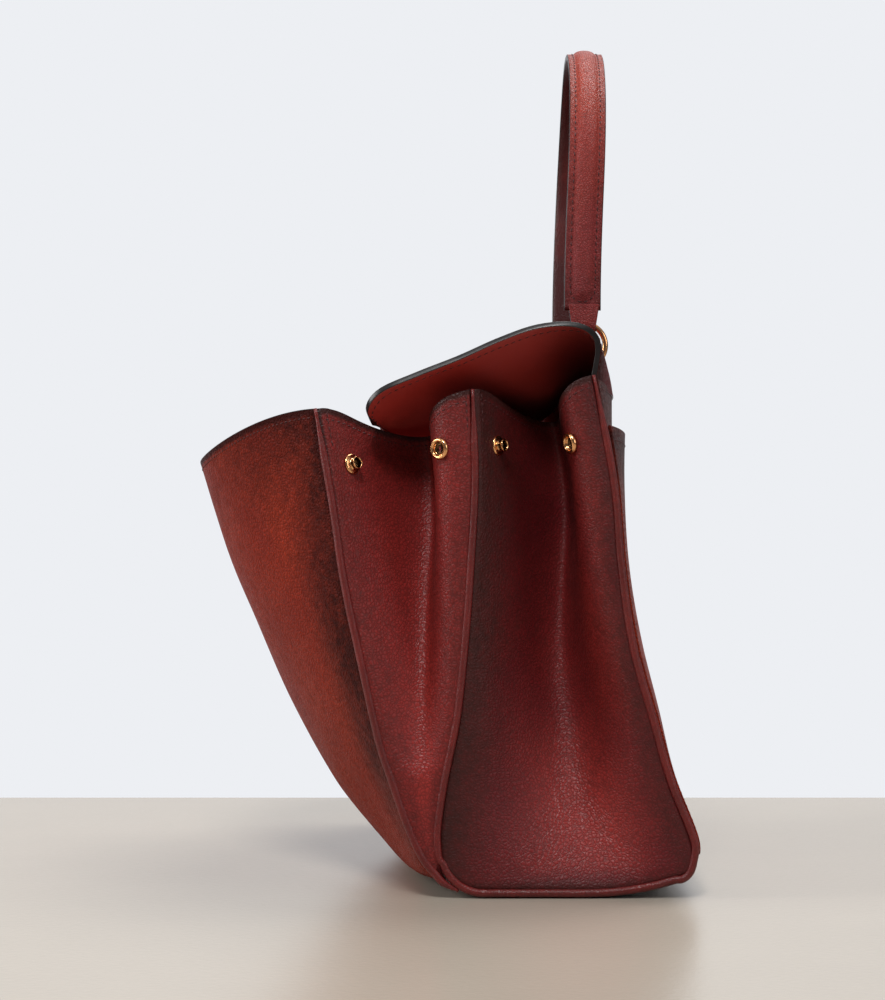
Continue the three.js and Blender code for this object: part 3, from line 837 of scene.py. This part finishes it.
def sew(bm, path):
    """Add a row of stitches along a path that gives a place and the way out of the leather."""
    shares = [step / SEW_STEPS for step in range(SEW_STEPS + 1)]
    places = [path(share)[0] for share in shares]
    runs = [0.0]
    for first, second in zip(places, places[1:]):
        runs.append(runs[-1] + (second - first).length)
    count = max(1, round(runs[-1] * MM / sizes().stitch_pitch))
    at = 0
    for number in range(count):
        run = runs[-1] * (number + 0.5) / count
        while runs[at + 1] < run:
            at += 1
        part = (run - runs[at]) / (runs[at + 1] - runs[at])
        share = mix(shares[at], shares[at + 1], part)
        place, out = path(share)
        ahead = (path(share + 2e-3)[0] - path(share - 2e-3)[0]).normalized()
        aside = out.cross(ahead).normalized()
        ahead = (ahead + aside * STITCH_SLANT).normalized()
        aside = out.cross(ahead).normalized()
        half = (ahead * sizes().stitch_length, aside * sizes().stitch_width, out * sizes().stitch_width)
        turn = Matrix([column * 0.5 for column in half]).transposed().to_4x4()
        spot = Matrix.Translation(place * MM) @ turn
        bmesh.ops.create_icosphere(bm, subdivisions=1, radius=1.0, matrix=spot)


def sew_sheet(bm, shape, start, end, lift, side=1):
    """Sew a row on a leather sheet between two pairs of shares, on one side of the bag."""
    def path(share):
        share = min(max(share, 0.0), 1.0)
        across = mix(start[0], end[0], share)
        up = mix(start[1], end[1], share)
        out = surface_normal(shape, across, up)
        place = shape(across, up) + out * lift
        return mirrored(place, side), mirrored(out * math.copysign(1.0, lift), side)

    sew(bm, path)


def soft_lie(broad, small):
    """Uneven lie of soft leather in millimetres: broad waves and small creases."""
    def lie(place):
        crease = Vector([part * cells for part, cells in zip(place, CREASE_CELLS)])
        return broad * noise.noise(place * WAVE_CELLS) + small * noise.noise(crease)

    return lie


# Rough sizes of the leathers in millimetres, by which their worn and burnished bands, and their painted
# light and shade, are measured
PANEL_HALF = 160
FRONT_HEIGHT = 260
BACK_HEIGHT = 245
FLAP_LENGTH = 150
FRONT_SIDE_HEIGHT = 220
FRONT_SIDE_WIDTHS = (16, 82)
BACK_SIDE_HEIGHT = 240
BACK_SIDE_WIDTHS = (127, 60)


def near(low, high, distance):
    """One up to a low distance, falling to nothing at a high one."""
    return 1 - smooth(low, high, distance)


def drift(amount, *place):
    """Wandering of a worn border."""
    return amount * noise.noise(Vector(place))


def top_edge(height, up):
    """Dark paint that has run over the top edge of a sheet of that height."""
    return 1.5 * near(0.8, 3.0, height * (1 - up))


# Each of these functions gives the burnish and the patina at a place on its sheet; some also put painted
# shade into the burnish and painted light into the patina, and on a lining a low patina is painted shade
def front_panel_wear(across, up):
    wander = drift(14, across * 2.5, up * 3.5, 1.7)
    beside = near(2, 40, PANEL_HALF * (1 - abs(across)) + wander) * mix(0.3, 0.75, smooth(0.1, 0.5, up))
    above = near(3, 46, FRONT_HEIGHT * (1 - up) + wander) * mix(0.25, 1.0, smooth(0.4, 0.9, abs(across)))
    below = near(5, 30, FRONT_HEIGHT * up)
    return max(beside, 0.75 * above, 0.7 * below, top_edge(FRONT_HEIGHT, up)), 0.8


def back_wear(across, up):
    wander = drift(12, across * 2.5, up * 3.5, 5.1)
    beside = near(4, 26, PANEL_HALF * (1 - abs(across)) + wander)
    above = near(10, 60, BACK_HEIGHT * (1 - up) + wander)
    below = near(3, 24, BACK_HEIGHT * up)
    return max(0.25 * beside, 0.8 * above, 0.4 * below), 0.9


def flap_wear_and_shade(across, up):
    wander = drift(10, across * 2.5, up * 3.5, 8.3)
    beside = near(4, 34, PANEL_HALF * (1 - abs(across)) + wander)
    below = near(4, 34, FLAP_LENGTH * (1 - up) + wander)
    # The patina rises from the seam to the front edge; on the lining underneath, its low values are painted
    # shade near the seam
    return max(0.8 * beside, 0.8 * below), mix(0.06, 0.6, smooth(0.14, 0.55, up))


def inner_wear_and_shade(across, up):
    # The low patina is painted shade on the divider's lining
    return 0.25 * near(0.0, 0.2, 1 - abs(across)), 0.3


def front_gusset_wear_and_light(across, up):
    fold = across * 0.5 + 0.5
    width = mix(*FRONT_SIDE_WIDTHS, up)
    seams = near(1, 18, min(fold, 1 - fold) * width + drift(5, fold, up * 5, 2.2))
    # Darker at the top, under the flap: painted shade
    top = near(2, 26, FRONT_SIDE_HEIGHT * (1 - up))
    # Darker towards the bottom
    low = near(0.0, 0.22, up)
    # Lighter patch in the fold's valley: worn colour, and painted light where the valley lies in shade
    patch_and_glow = near(0.0, 0.3, abs(fold - 0.52)) * smooth(0.12, 0.34, up) * near(0.42, 0.8, up)
    dark = max(0.3 * seams * (1 - patch_and_glow), 0.3 * top, 0.4 * low, top_edge(FRONT_SIDE_HEIGHT, up))
    return dark, 0.65 + 0.5 * patch_and_glow


def back_gusset_wear_and_light(across, up):
    fold = across * 0.5 + 0.5
    width = mix(*BACK_SIDE_WIDTHS, up)
    wander = drift(6, fold * 2, up * 5, 4.4)
    # Dark along the divider seam: burnish, and painted shade on the wall's shaded half
    front = near(2, 26, fold * width + wander)
    back = near(2, 22, (1 - fold) * width + wander)
    # Dark where the wall turns under at the bottom: painted shade
    low = near(2, 16, BACK_SIDE_HEIGHT * up + wander)
    # Darker at the top, under the flap: painted shade
    top = near(2, 26, BACK_SIDE_HEIGHT * (1 - up))
    # Lighter low middle, where the wall leans up to the light: painted highlight
    bulge_highlight = near(0.1, 0.4, abs(fold - 0.5)) * smooth(0.03, 0.12, up) * near(0.2, 0.5, up)
    # Lighter middle of the fold: worn colour and painted light
    patch_and_glow = near(0.05, 0.45, abs(fold - 0.6)) * smooth(0.05, 0.2, up) * near(0.6, 0.95, up)
    # Lighter lobe beside the back seam: painted highlight
    roll_highlight = smooth(0.66, 0.74, fold) * near(0.86, 0.96, fold) * smooth(0.3, 0.6, up)
    dark = max(0.75 * front, 0.45 * back, 0.7 * low, 0.3 * top, top_edge(BACK_SIDE_HEIGHT, up))
    return dark, 0.05 + 0.25 * patch_and_glow + 0.6 * bulge_highlight + 0.35 * roll_highlight


def plain_wear_and_shade(across, up):
    # The low patina is painted shade on the base's lining; on the tabs and bridges it is a little worn
    # colour
    return 0.2, 0.2


def declare_sheet(shape):
    """Lay points out along a leather sheet's own rows; nothing is done with them."""
    steps = 24
    rows = [[shape(2 * i / steps - 1, j / steps) * MM for i in range(steps + 1)] for j in range(steps + 1)]


def folded(shape, side):
    """Gusset shape with its fold share running from -1 to 1, on one side of the bag."""
    return lambda across, up: mirrored(shape(across * 0.5 + 0.5, up), side)


def front_piping_line(side):
    points = [Vector((HALF_WIDTH, *FRONT_PIPING_FOOT))]
    points += [front_seam(step / 18) for step in range(19)]
    return row_line([mirrored(point, side) for point in points], 0, 1, 2)


def body_piping_line(side):
    shares = [step / 14 for step in range(15)]
    points = [Vector((HALF_WIDTH, *divider_seam(1 - share))) for share in shares]
    bends = [SOLE_FRONT - FRONT_CORNER_RADIUS * math.sin(math.radians(angle)) for angle in range(70, 0, -10)]
    for y in bends + [mix(SOLE_FRONT, BASE_BACK - BACK_CORNER_RUN, share) for share in shares]:
        points.append(Vector((HALF_WIDTH, y, base_height(y))))
    points += [Vector((HALF_WIDTH, *corner)) for corner in BACK_CORNER]
    points += [Vector((HALF_WIDTH, *back_seam(mix(BACK_PIPING_START, 1.0, share)))) for share in shares]
    return row_line([mirrored(point, side) for point in points], 0, 1, 2)


# Handle line: two straight legs and a round arch, measured from the right end
ARCH_HEIGHT = HANDLE_TOP - HANDLE_HALF_SPAN
LEG = ARCH_HEIGHT - HANDLE_BOTTOM
ARCH = math.pi * HANDLE_HALF_SPAN
HANDLE_LENGTH = 2 * LEG + ARCH


def handle_frame(run):
    """Centre of the strap at a run from its right end, and the way out of its padded face."""
    angle = min(max((run - LEG) / HANDLE_HALF_SPAN, 0.0), math.pi)
    out = Vector((math.cos(angle), 0.0, math.sin(angle)))
    drop = max(0.0, LEG - run) + max(0.0, run - LEG - ARCH)
    height = ARCH_HEIGHT + out.z * HANDLE_HALF_SPAN - drop
    lean = HANDLE_BOTTOM_Y + HANDLE_LEAN * smooth(HANDLE_BOTTOM, HANDLE_TOP, height)
    return Vector((out.x * HANDLE_HALF_SPAN, lean, height)), out


def pad_height(across, run):
    """Height of the stuffed middle over the strap, with round ends."""
    past = max(0.0, PAD_END + PAD_HALF_WIDTH - min(run, HANDLE_LENGTH - run))
    share = math.hypot(past, across) / PAD_HALF_WIDTH
    return PAD_HEIGHT * max(0.0, 1 - share ** PAD_CROWN) ** PAD_SHOULDER


def handle_stations():
    """Places round the strap's section: share of the half width and of the half thickness."""
    outer = [(-1.0, 0.5), (-HANDLE_EDGE, 1.0)]
    outer += [(step / 20, 1.0) for step in range(-18, 19)]
    outer += [(HANDLE_EDGE, 1.0), (1.0, 0.5)]
    inner = [(across, -1.0) for across in (HANDLE_EDGE, 0.5, 0.0, -0.5, -HANDLE_EDGE)]
    return outer + [(1.0, -0.5)] + inner + [(-1.0, -0.5)]


def handle_mesh():
    """Roll a grid into the padded strap."""
    stations = handle_stations()
    columns = len(stations)
    rows = 150
    bm = bmesh.new()
    bmesh.ops.create_grid(bm, x_segments=columns, y_segments=rows, size=1.0)
    burnish, patina_and_light = wear_and_light_layers(bm)
    for face in bm.faces:
        column = int((face.calc_center_median().x * 0.5 + 0.5) * columns)
        first = stations[column]
        second = stations[(column + 1) % columns]
        if min(abs(first[0]), abs(second[0])) >= HANDLE_EDGE:
            face.material_index = 1
        elif first[1] < 0:
            face.material_index = 2
    for vert in bm.verts:
        across, deep = stations[round((vert.co.x * 0.5 + 0.5) * columns) % columns]
        run = (vert.co.y * 0.5 + 0.5) * (HANDLE_LENGTH + 2 * HANDLE_TAIL) - HANDLE_TAIL
        centre, out = handle_frame(run)
        height = deep * HANDLE_HALF_THICKNESS
        if deep > 0.9:
            height += pad_height(across * HANDLE_HALF_WIDTH, run)
        # Lighter towards the top and darker at the lower ends: worn leather, painted light from above and
        # painted shade
        high = smooth(*HANDLE_WORN_AND_LIT, centre.z)
        worn = high if deep > 0 else 0.0
        vert[patina_and_light] = worn + 0.2 * noise.noise(Vector((run * 0.02, across, 3.0)))
        vert[burnish] = 0.25 * smooth(0.55, 0.95, abs(across)) + 0.3 * (1 - smooth(*HANDLE_SHADED, centre.z))
        place = centre + out * height
        place.y += across * HANDLE_HALF_WIDTH
        vert.co = place * MM
    close_round(bm)
    return bm


def sew_handle(bm, run_at, across_at):
    """Sew a row on the strap's padded face."""
    def path(share):
        centre, out = handle_frame(run_at(share))
        place = centre + out * (HANDLE_HALF_THICKNESS + PAD_STITCH_LIFT)
        place.y += across_at(share)
        return place, out

    sew(bm, path)


def sew_pad(bm, reach):
    """Sew along both sides of the pad and round its ends."""
    start = PAD_END + PAD_HALF_WIDTH
    for across in (reach, -reach):
        sew_handle(bm, lambda share: mix(start, HANDLE_LENGTH - start, share), lambda share: across)

    def end_run(share):
        return start - reach * math.sin(math.pi * share)

    def end_across(share):
        return -reach * math.cos(math.pi * share)

    sew_handle(bm, end_run, end_across)
    sew_handle(bm, lambda share: HANDLE_LENGTH - end_run(share), end_across)


def tab_shape(side):
    """Leather loop from the strap's outer face round the ring's wire to its inner face."""
    turn = RING_WIRE + TAB_WRAP
    top = HANDLE_BOTTOM + TAB_OVERLAP

    def shape(across, up):
        along = 1 - 2 * up
        leg = max(0.0, (abs(along) - TAB_BEND_SHARE) / (1 - TAB_BEND_SHARE))
        y = across * mix(*TAB_HALF_WIDTHS, leg)
        wire = RING_CENTRE.z + math.sqrt(RING_RADIUS ** 2 - min(abs(y), TAB_REACH) ** 2)
        if leg > 0:
            x = math.copysign(mix(turn, TAB_LEG_STAND, leg), along)
            z = mix(wire, top, leg)
        else:
            angle = along / TAB_BEND_SHARE * math.pi / 2
            x = turn * math.sin(angle)
            z = wire - turn * math.cos(angle)
        return Vector((side * (RING_CENTRE.x + x), RING_CENTRE.y + y, z))

    return shape


def flap_height(x, y):
    """Height of the flap's middle surface near its crest."""
    across = x / HALF_WIDTH
    along = last_place(*CREST_SPAN, lambda share: flap_point(across, share).y > y, 24)
    return flap_point(across, along).z


def chape_shape(side):
    """Leather bridge over the bottom of a ring, with both feet on the flap."""
    bite = RING_RADIUS - RING_WIRE

    def shape(across, up):
        x = RING_CENTRE.x + across * CHAPE_LENGTH / 2
        aside = (up - 0.5) * CHAPE_WIDTH
        rise = 1 - smooth(*CHAPE_BRIDGE, abs(across) / 2)
        over = RING_CENTRE.z - math.sqrt(bite ** 2 - aside ** 2) + CHAPE_WRAP
        down = flap_height(x, RING_CENTRE.y + aside) + CHAPE_FOOT
        return Vector((side * x, RING_CENTRE.y + aside, mix(down, over, rise)))

    return shape


BODY_FINISHES = ("panel_leather", "edge_paint", "lining_leather")
BACK_FINISHES = ("panel_leather", "panel_leather", "lining_leather")
SIDE_FINISHES = ("side_leather", "edge_paint", "lining_leather")
INNER_FINISHES = ("lining_leather", "edge_paint", "lining_leather")
BASE_FINISHES = ("sole_leather", "edge_paint", "lining_leather")
STRAP_FINISHES = ("strap_leather", "edge_paint", "piping_leather")
TAB_FINISHES = ("strap_leather", "edge_paint", "strap_leather")
CHAPE_FINISHES = ("side_leather", "edge_paint", "side_leather")


class BAG_OT_walls(Operator):
    """Make the front panel, the divider, the back panel and the base"""

    bl_idname = "bag.walls"
    bl_label = "Walls"

    def execute(self, context):
        body = sizes().body_leather
        sheet = (front_panel_point, (330, 280), body)
        look = ("patina_leather", BODY_FINISHES, front_panel_wear, (1.3, 0.35))
        leather_piece("front_panel", sheet, look, "stretched", sunk=1.3)

        sheet = (divider_point, (330, 240), body)
        look = ("burgundy_leather", INNER_FINISHES, inner_wear_and_shade, (1.0, 0.2))
        leather_piece("divider", sheet, look, "stretched")

        sheet = (back_panel_point, (330, 245), body)
        look = ("patina_leather", BACK_FINISHES, back_wear, (0.5, 0.15))
        leather_piece("back_panel", sheet, look, "stretched", turn=True, sunk=1.0)

        sheet = (base_point, (330, 130), sizes().base_leather)
        look = ("dark_leather", BASE_FINISHES, plain_wear_and_shade, (0.0, 0.05))
        leather_piece("base_panel", sheet, look, name="base_leather")
        return {"FINISHED"}


class BAG_OT_gussets(Operator):
    """Make the four folded side walls"""

    bl_idname = "bag.gussets"
    bl_label = "Gussets"

    def execute(self, context):
        kinds = (("front", front_gusset_wear_and_light, FAR_FOOT), ("back", back_gusset_wear_and_light, 0.0))
        for place, wear_and_light, foot in kinds:
            look = ("burgundy_leather", SIDE_FINISHES, wear_and_light, (0.7, 0.35))
            for name, side in SIDES:
                sheet = (folded(GUSSETS[place], side), (210, 260), sizes().gusset_leather)
                seams = {"turn": side < 0, "sunk": 1.6, "foot": foot}
                leather_piece(f"{place}_gusset_{name}", sheet, look, "folded", **seams)
        return {"FINISHED"}


class BAG_OT_piping(Operator):
    """Make the piping in the side seams and round the base"""

    bl_idname = "bag.piping"
    bl_label = "Piping"

    def execute(self, context):
        full = sizes().piping_radius / MM

        def front_radius(share):
            foot = mix(0.5, 1.0, smooth(0.0, 0.07, share))
            return full * (1 - PIPING_TAPER * smooth(0.93, 0.99, share)) * foot

        def body_radius(share):
            return full * (1 - PIPING_TAPER * near(0.004, 0.025, min(share, 1 - share)))

        def wear_and_light(share):
            return 0.05 + drift(0.25, share * 12, 0.4, 0.0), 0.45

        kinds = (
            ("front_piping", front_piping_line, 130, front_radius),
            ("body_piping", body_piping_line, 300, body_radius),
        )
        for name, side in SIDES:
            for kind, line, rings, radius_at in kinds:
                bm = cord_mesh(line(side), rings, radius_at, wear_and_light)
                nodes = [f"{kind}_{name}"]
                new_piece(f"{kind}_{name}_cord", bm, ["piping_leather"], nodes)
        return {"FINISHED"}


class BAG_OT_flap(Operator):
    """Make the flap that rises from the back panel and lies forward"""

    bl_idname = "bag.flap"
    bl_label = "Flap"

    def execute(self, context):
        sheet = (flap_point, (330, 160), sizes().flap_leather)
        look = ("burgundy_leather", BODY_FINISHES, flap_wear_and_shade, (0.6, 0.15))
        leather_piece("flap", sheet, look, "hung", "back_panel", turn=True)
        return {"FINISHED"}


class BAG_OT_pocket(Operator):
    """Make the slip pocket on the back panel"""

    bl_idname = "bag.pocket"
    bl_label = "Back pocket"

    def execute(self, context):
        sheet = (pocket_point, (305, 180), sizes().pocket_leather)
        look = ("patina_leather", BACK_FINISHES, back_wear, (0.4, 0.2))
        leather_piece("back_pocket", sheet, look, "stretched", "back_panel", turn=True)
        return {"FINISHED"}


class BAG_OT_handle(Operator):
    """Make the padded strap and the leather loops at its ends"""

    bl_idname = "bag.handle"
    bl_label = "Handle"

    def execute(self, context):
        nodes = ["handle_strap"]
        strap = new_piece("handle_padded_strap", handle_mesh(), STRAP_FINISHES, nodes)
        for name, side in SIDES:
            sheet = (tab_shape(side), (26, 90), sizes().strap_leather)
            look = ("handle_leather", TAB_FINISHES, plain_wear_and_shade, (0.0, 0.1))
            leather_piece(f"handle_tab_{name}", sheet, look, name=f"handle_tab_{name}_loop", turn=side < 0)
        return {"FINISHED"}


class BAG_OT_rings(Operator):
    """Make the gold rings and the leather bridges that hold them"""

    bl_idname = "bag.rings"
    bl_label = "Rings"

    def execute(self, context):
        for name, side in SIDES:
            bm = bmesh.new()
            spot = Matrix.Translation((0.0, RING_RADIUS * MM, 0.0))
            bmesh.ops.create_circle(bm, segments=18, radius=RING_WIRE * MM, matrix=spot)
            spin_round(bm, (1, 0, 0), 64)
            bmesh.ops.translate(bm, vec=mirrored(RING_CENTRE, side) * MM, verts=bm.verts)
            new_piece(f"handle_ring_{name}_wire", bm, ["gold"], [f"handle_ring_{name}"])

            sheet = (chape_shape(side), (110, 27), sizes().strap_leather)
            look = ("burgundy_leather", CHAPE_FINISHES, plain_wear_and_shade, (0.0, 0.1))
            leather_piece(f"ring_chape_{name}", sheet, look, name=f"ring_chape_{name}_bridge", turn=side < 0)
        return {"FINISHED"}


class BAG_OT_snaps(Operator):
    """Make the gold studs and sockets on the side walls"""

    bl_idname = "bag.snaps"
    bl_label = "Snaps"

    def execute(self, context):
        for snap, gusset, section, hollow, across, up in SNAPS:
            shape = GUSSETS[gusset]
            out = surface_normal(shape, across, up)
            place = shape(across, up) + out * (sizes().gusset_leather / MM / 2 + SNAP_STAND)
            for name, side in SIDES:
                bm = turned_metal(section, hollow, mirrored(place, side), mirrored(out, side))
                finishes = ("gold", "painted_shade_gold")
                new_piece(f"{snap}_{name}_turned", bm, finishes, [f"{snap}_{name}"])
        return {"FINISHED"}


class BAG_OT_stitching(Operator):
    """Sew the rows of stitches along the edges, the pocket, the flap and the handle"""

    bl_idname = "bag.stitching"
    bl_label = "Stitching"

    def execute(self, context):
        body = sizes().body_leather / MM / 2
        gusset = sizes().gusset_leather / MM / 2
        flap = sizes().flap_leather / MM / 2
        pocket = sizes().pocket_leather / MM / 2

        bm = bmesh.new()
        for lift in (body, -body):
            sew_sheet(bm, front_panel_point, (-0.985, 0.988), (0.985, 0.988), lift)
            sew_sheet(bm, divider_point, (-0.985, 0.986), (0.985, 0.986), lift)
        sew_sheet(bm, back_panel_point, (-0.985, 0.984), (0.985, 0.984), -body)
        for shape in GUSSETS.values():
            for _, side in SIDES:
                for lift in (gusset, -gusset):
                    sew_sheet(bm, shape, (0.02, 0.984), (0.98, 0.984), lift, side)
                for beside in (0.035, 0.97):
                    sew_sheet(bm, shape, (beside, 0.945), (beside, 0.995), gusset, side)
        self.add("panel_stitching", bm)

        bm = bmesh.new()
        for lift in (flap, -flap):
            for _, side in SIDES:
                sew_sheet(bm, flap_point, (0.978, 0.04), (0.978, 0.975), lift, side)
            sew_sheet(bm, flap_point, (-0.97, 0.977), (0.97, 0.977), lift)
        self.add("flap_stitching", bm)

        bm = bmesh.new()
        for _, side in SIDES:
            sew_sheet(bm, pocket_point, (0.955, 0.01), (0.955, 0.99), POCKET_STITCH_SINK - pocket, side)
        for height in (0.02, 0.978):
            sew_sheet(bm, pocket_point, (-0.97, height), (0.97, height), -pocket)
        self.add("pocket_stitching", bm)

        bm = bmesh.new()
        sew_pad(bm, PAD_HALF_WIDTH + PAD_STITCH_GAP)
        self.add("handle_stitching", bm)
        return {"FINISHED"}

    def add(self, name, bm):
        new_piece(name, bm, ["thread"], [])


# Stage in metres: the floor, lights with place, size and power, what they aim at, and the camera
FLOOR_SIZE = (4.0, 8.0, 0.05)
FLOOR_BACK = -0.311
FLOOR_DROP = 0.0002
FLOOR_ROUNDING = 0.002
LIGHTS = (
    ("above_camera", (1.3, -0.25, 1.75), 0.5, 24.0),
    ("left", (0.15, -1.8, 0.8), 1.1, 22.0),
    ("overhead", (-0.6, 0.3, 1.9), 1.2, 24.0),
    ("right", (1.0, 1.5, 0.8), 0.9, 6.0),
)
LIGHT_AIM = (0.0, -0.05, 0.15)
CAMERA_PLACE = (1.565, -0.061, 0.199)
CAMERA_LENS = 100.8
CAMERA_SENSOR = 36.0

# Studio wall: its strength as seen, as soft light and as mirrored, by how far a ray goes back or up
SEEN_LIGHT = 1.0
SOFT_LIGHT = 0.32
MIRRORED_BACK = (0.78, 0.96, 0.14, 1.0)
MIRRORED_CEILING = (-0.5, -0.85, 0.0, 0.6)


class BAG_OT_stage(Operator):
    """Make the pale floor, the soft studio light and the camera"""

    bl_idname = "bag.stage"
    bl_label = "Stage"

    def execute(self, context):
        self.floor()
        self.wall()
        for light in LIGHTS:
            self.light(*light)
        self.camera(context)
        context.scene.view_settings.view_transform = "Standard"
        return {"FINISHED"}

    def floor(self):
        length, _, depth = FLOOR_SIZE
        bm = bmesh.new()
        bmesh.ops.create_cube(bm, size=1.0)
        bmesh.ops.scale(bm, vec=FLOOR_SIZE, verts=bm.verts)
        spot = (length / 2 + FLOOR_BACK, 0.0, -depth / 2 - FLOOR_DROP)
        bmesh.ops.translate(bm, vec=spot, verts=bm.verts)
        bmesh.ops.bevel(
            bm, geom=bm.edges, offset=FLOOR_ROUNDING, offset_type="OFFSET", affect="EDGES",
            segments=2, profile=0.5, material=-1,
        )
        new_object("floor", bm, ["floor_plaster"])

    def wall(self):
        world = bpy.data.worlds.new("studio")
        world.use_nodes = True
        tree = world.node_tree
        tree.nodes.clear()

        def backdrop(strength):
            inputs = {"Color": (*colours().backdrop, 1.0), "Strength": strength}
            return node(tree, "ShaderNodeBackground", inputs).outputs[0]

        rays = node(tree, "ShaderNodeLightPath").outputs
        incoming = node(tree, "ShaderNodeNewGeometry").outputs["Incoming"]
        parts = node(tree, "ShaderNodeSeparateXYZ", {0: incoming}).outputs
        behind = span(tree, parts["X"], *MIRRORED_BACK)
        ceiling = span(tree, parts["Z"], *MIRRORED_CEILING)
        mirrored_wall = backdrop(reckon(tree, "ADD", behind, ceiling))
        inputs = {0: rays["Is Glossy Ray"], 1: backdrop(SOFT_LIGHT), 2: mirrored_wall}
        lit = node(tree, "ShaderNodeMixShader", inputs)
        inputs = {0: rays["Is Camera Ray"], 1: lit.outputs[0], 2: backdrop(SEEN_LIGHT)}
        mixed = node(tree, "ShaderNodeMixShader", inputs)
        node(tree, "ShaderNodeOutputWorld", {"Surface": mixed.outputs[0]})
        bpy.context.scene.world = world

    def light(self, name, place, size, power):
        lamp = bpy.data.lights.new(name, "AREA")
        lamp.shape = "DISK"
        lamp.size = size
        lamp.energy = power
        held = bpy.data.objects.new(name, lamp)
        held.location = place
        aim = Vector(LIGHT_AIM) - Vector(place)
        held.rotation_euler = aim.to_track_quat("-Z", "Y").to_euler()
        bpy.context.collection.objects.link(held)

    def camera(self, context):
        lens = bpy.data.cameras.new("camera")
        lens.sensor_width = CAMERA_SENSOR
        lens.lens = CAMERA_LENS
        camera = bpy.data.objects.new("camera", lens)
        camera.location = CAMERA_PLACE
        camera.rotation_euler = (math.pi / 2, 0.0, math.pi / 2)
        context.collection.objects.link(camera)
        context.scene.camera = camera


PIECES = (
    BAG_OT_walls, BAG_OT_gussets, BAG_OT_piping, BAG_OT_flap, BAG_OT_pocket, BAG_OT_handle,
    BAG_OT_rings, BAG_OT_snaps, BAG_OT_stitching, BAG_OT_stage,
)


class BAG_PT_maker(Panel):
    """Sizes, colours and pieces of the bag"""

    bl_idname = "BAG_PT_maker"
    bl_label = "Leather bag"
    bl_space_type = "VIEW_3D"
    bl_region_type = "UI"
    bl_category = "Bag"

    def draw(self, context):
        for group in (context.scene.bag_sizes, context.scene.bag_colours):
            column = self.layout.column()
            for name in group.__annotations__:
                column.prop(group, name)
        column = self.layout.column()
        for piece in PIECES:
            column.operator(piece.bl_idname)


CLASSES = (BagSizes, BagColours, *PIECES, BAG_PT_maker)


def register():
    for part in CLASSES:
        bpy.utils.register_class(part)
    bpy.types.Scene.bag_sizes = PointerProperty(type=BagSizes)
    bpy.types.Scene.bag_colours = PointerProperty(type=BagColours)


def unregister():
    del bpy.types.Scene.bag_colours
    del bpy.types.Scene.bag_sizes
    for part in reversed(CLASSES):
        bpy.utils.unregister_class(part)


def main():
    register()
    for piece in PIECES:
        group, name = piece.bl_idname.split(".")
        getattr(getattr(bpy.ops, group), name)()


if __name__ == "__main__":
    main()
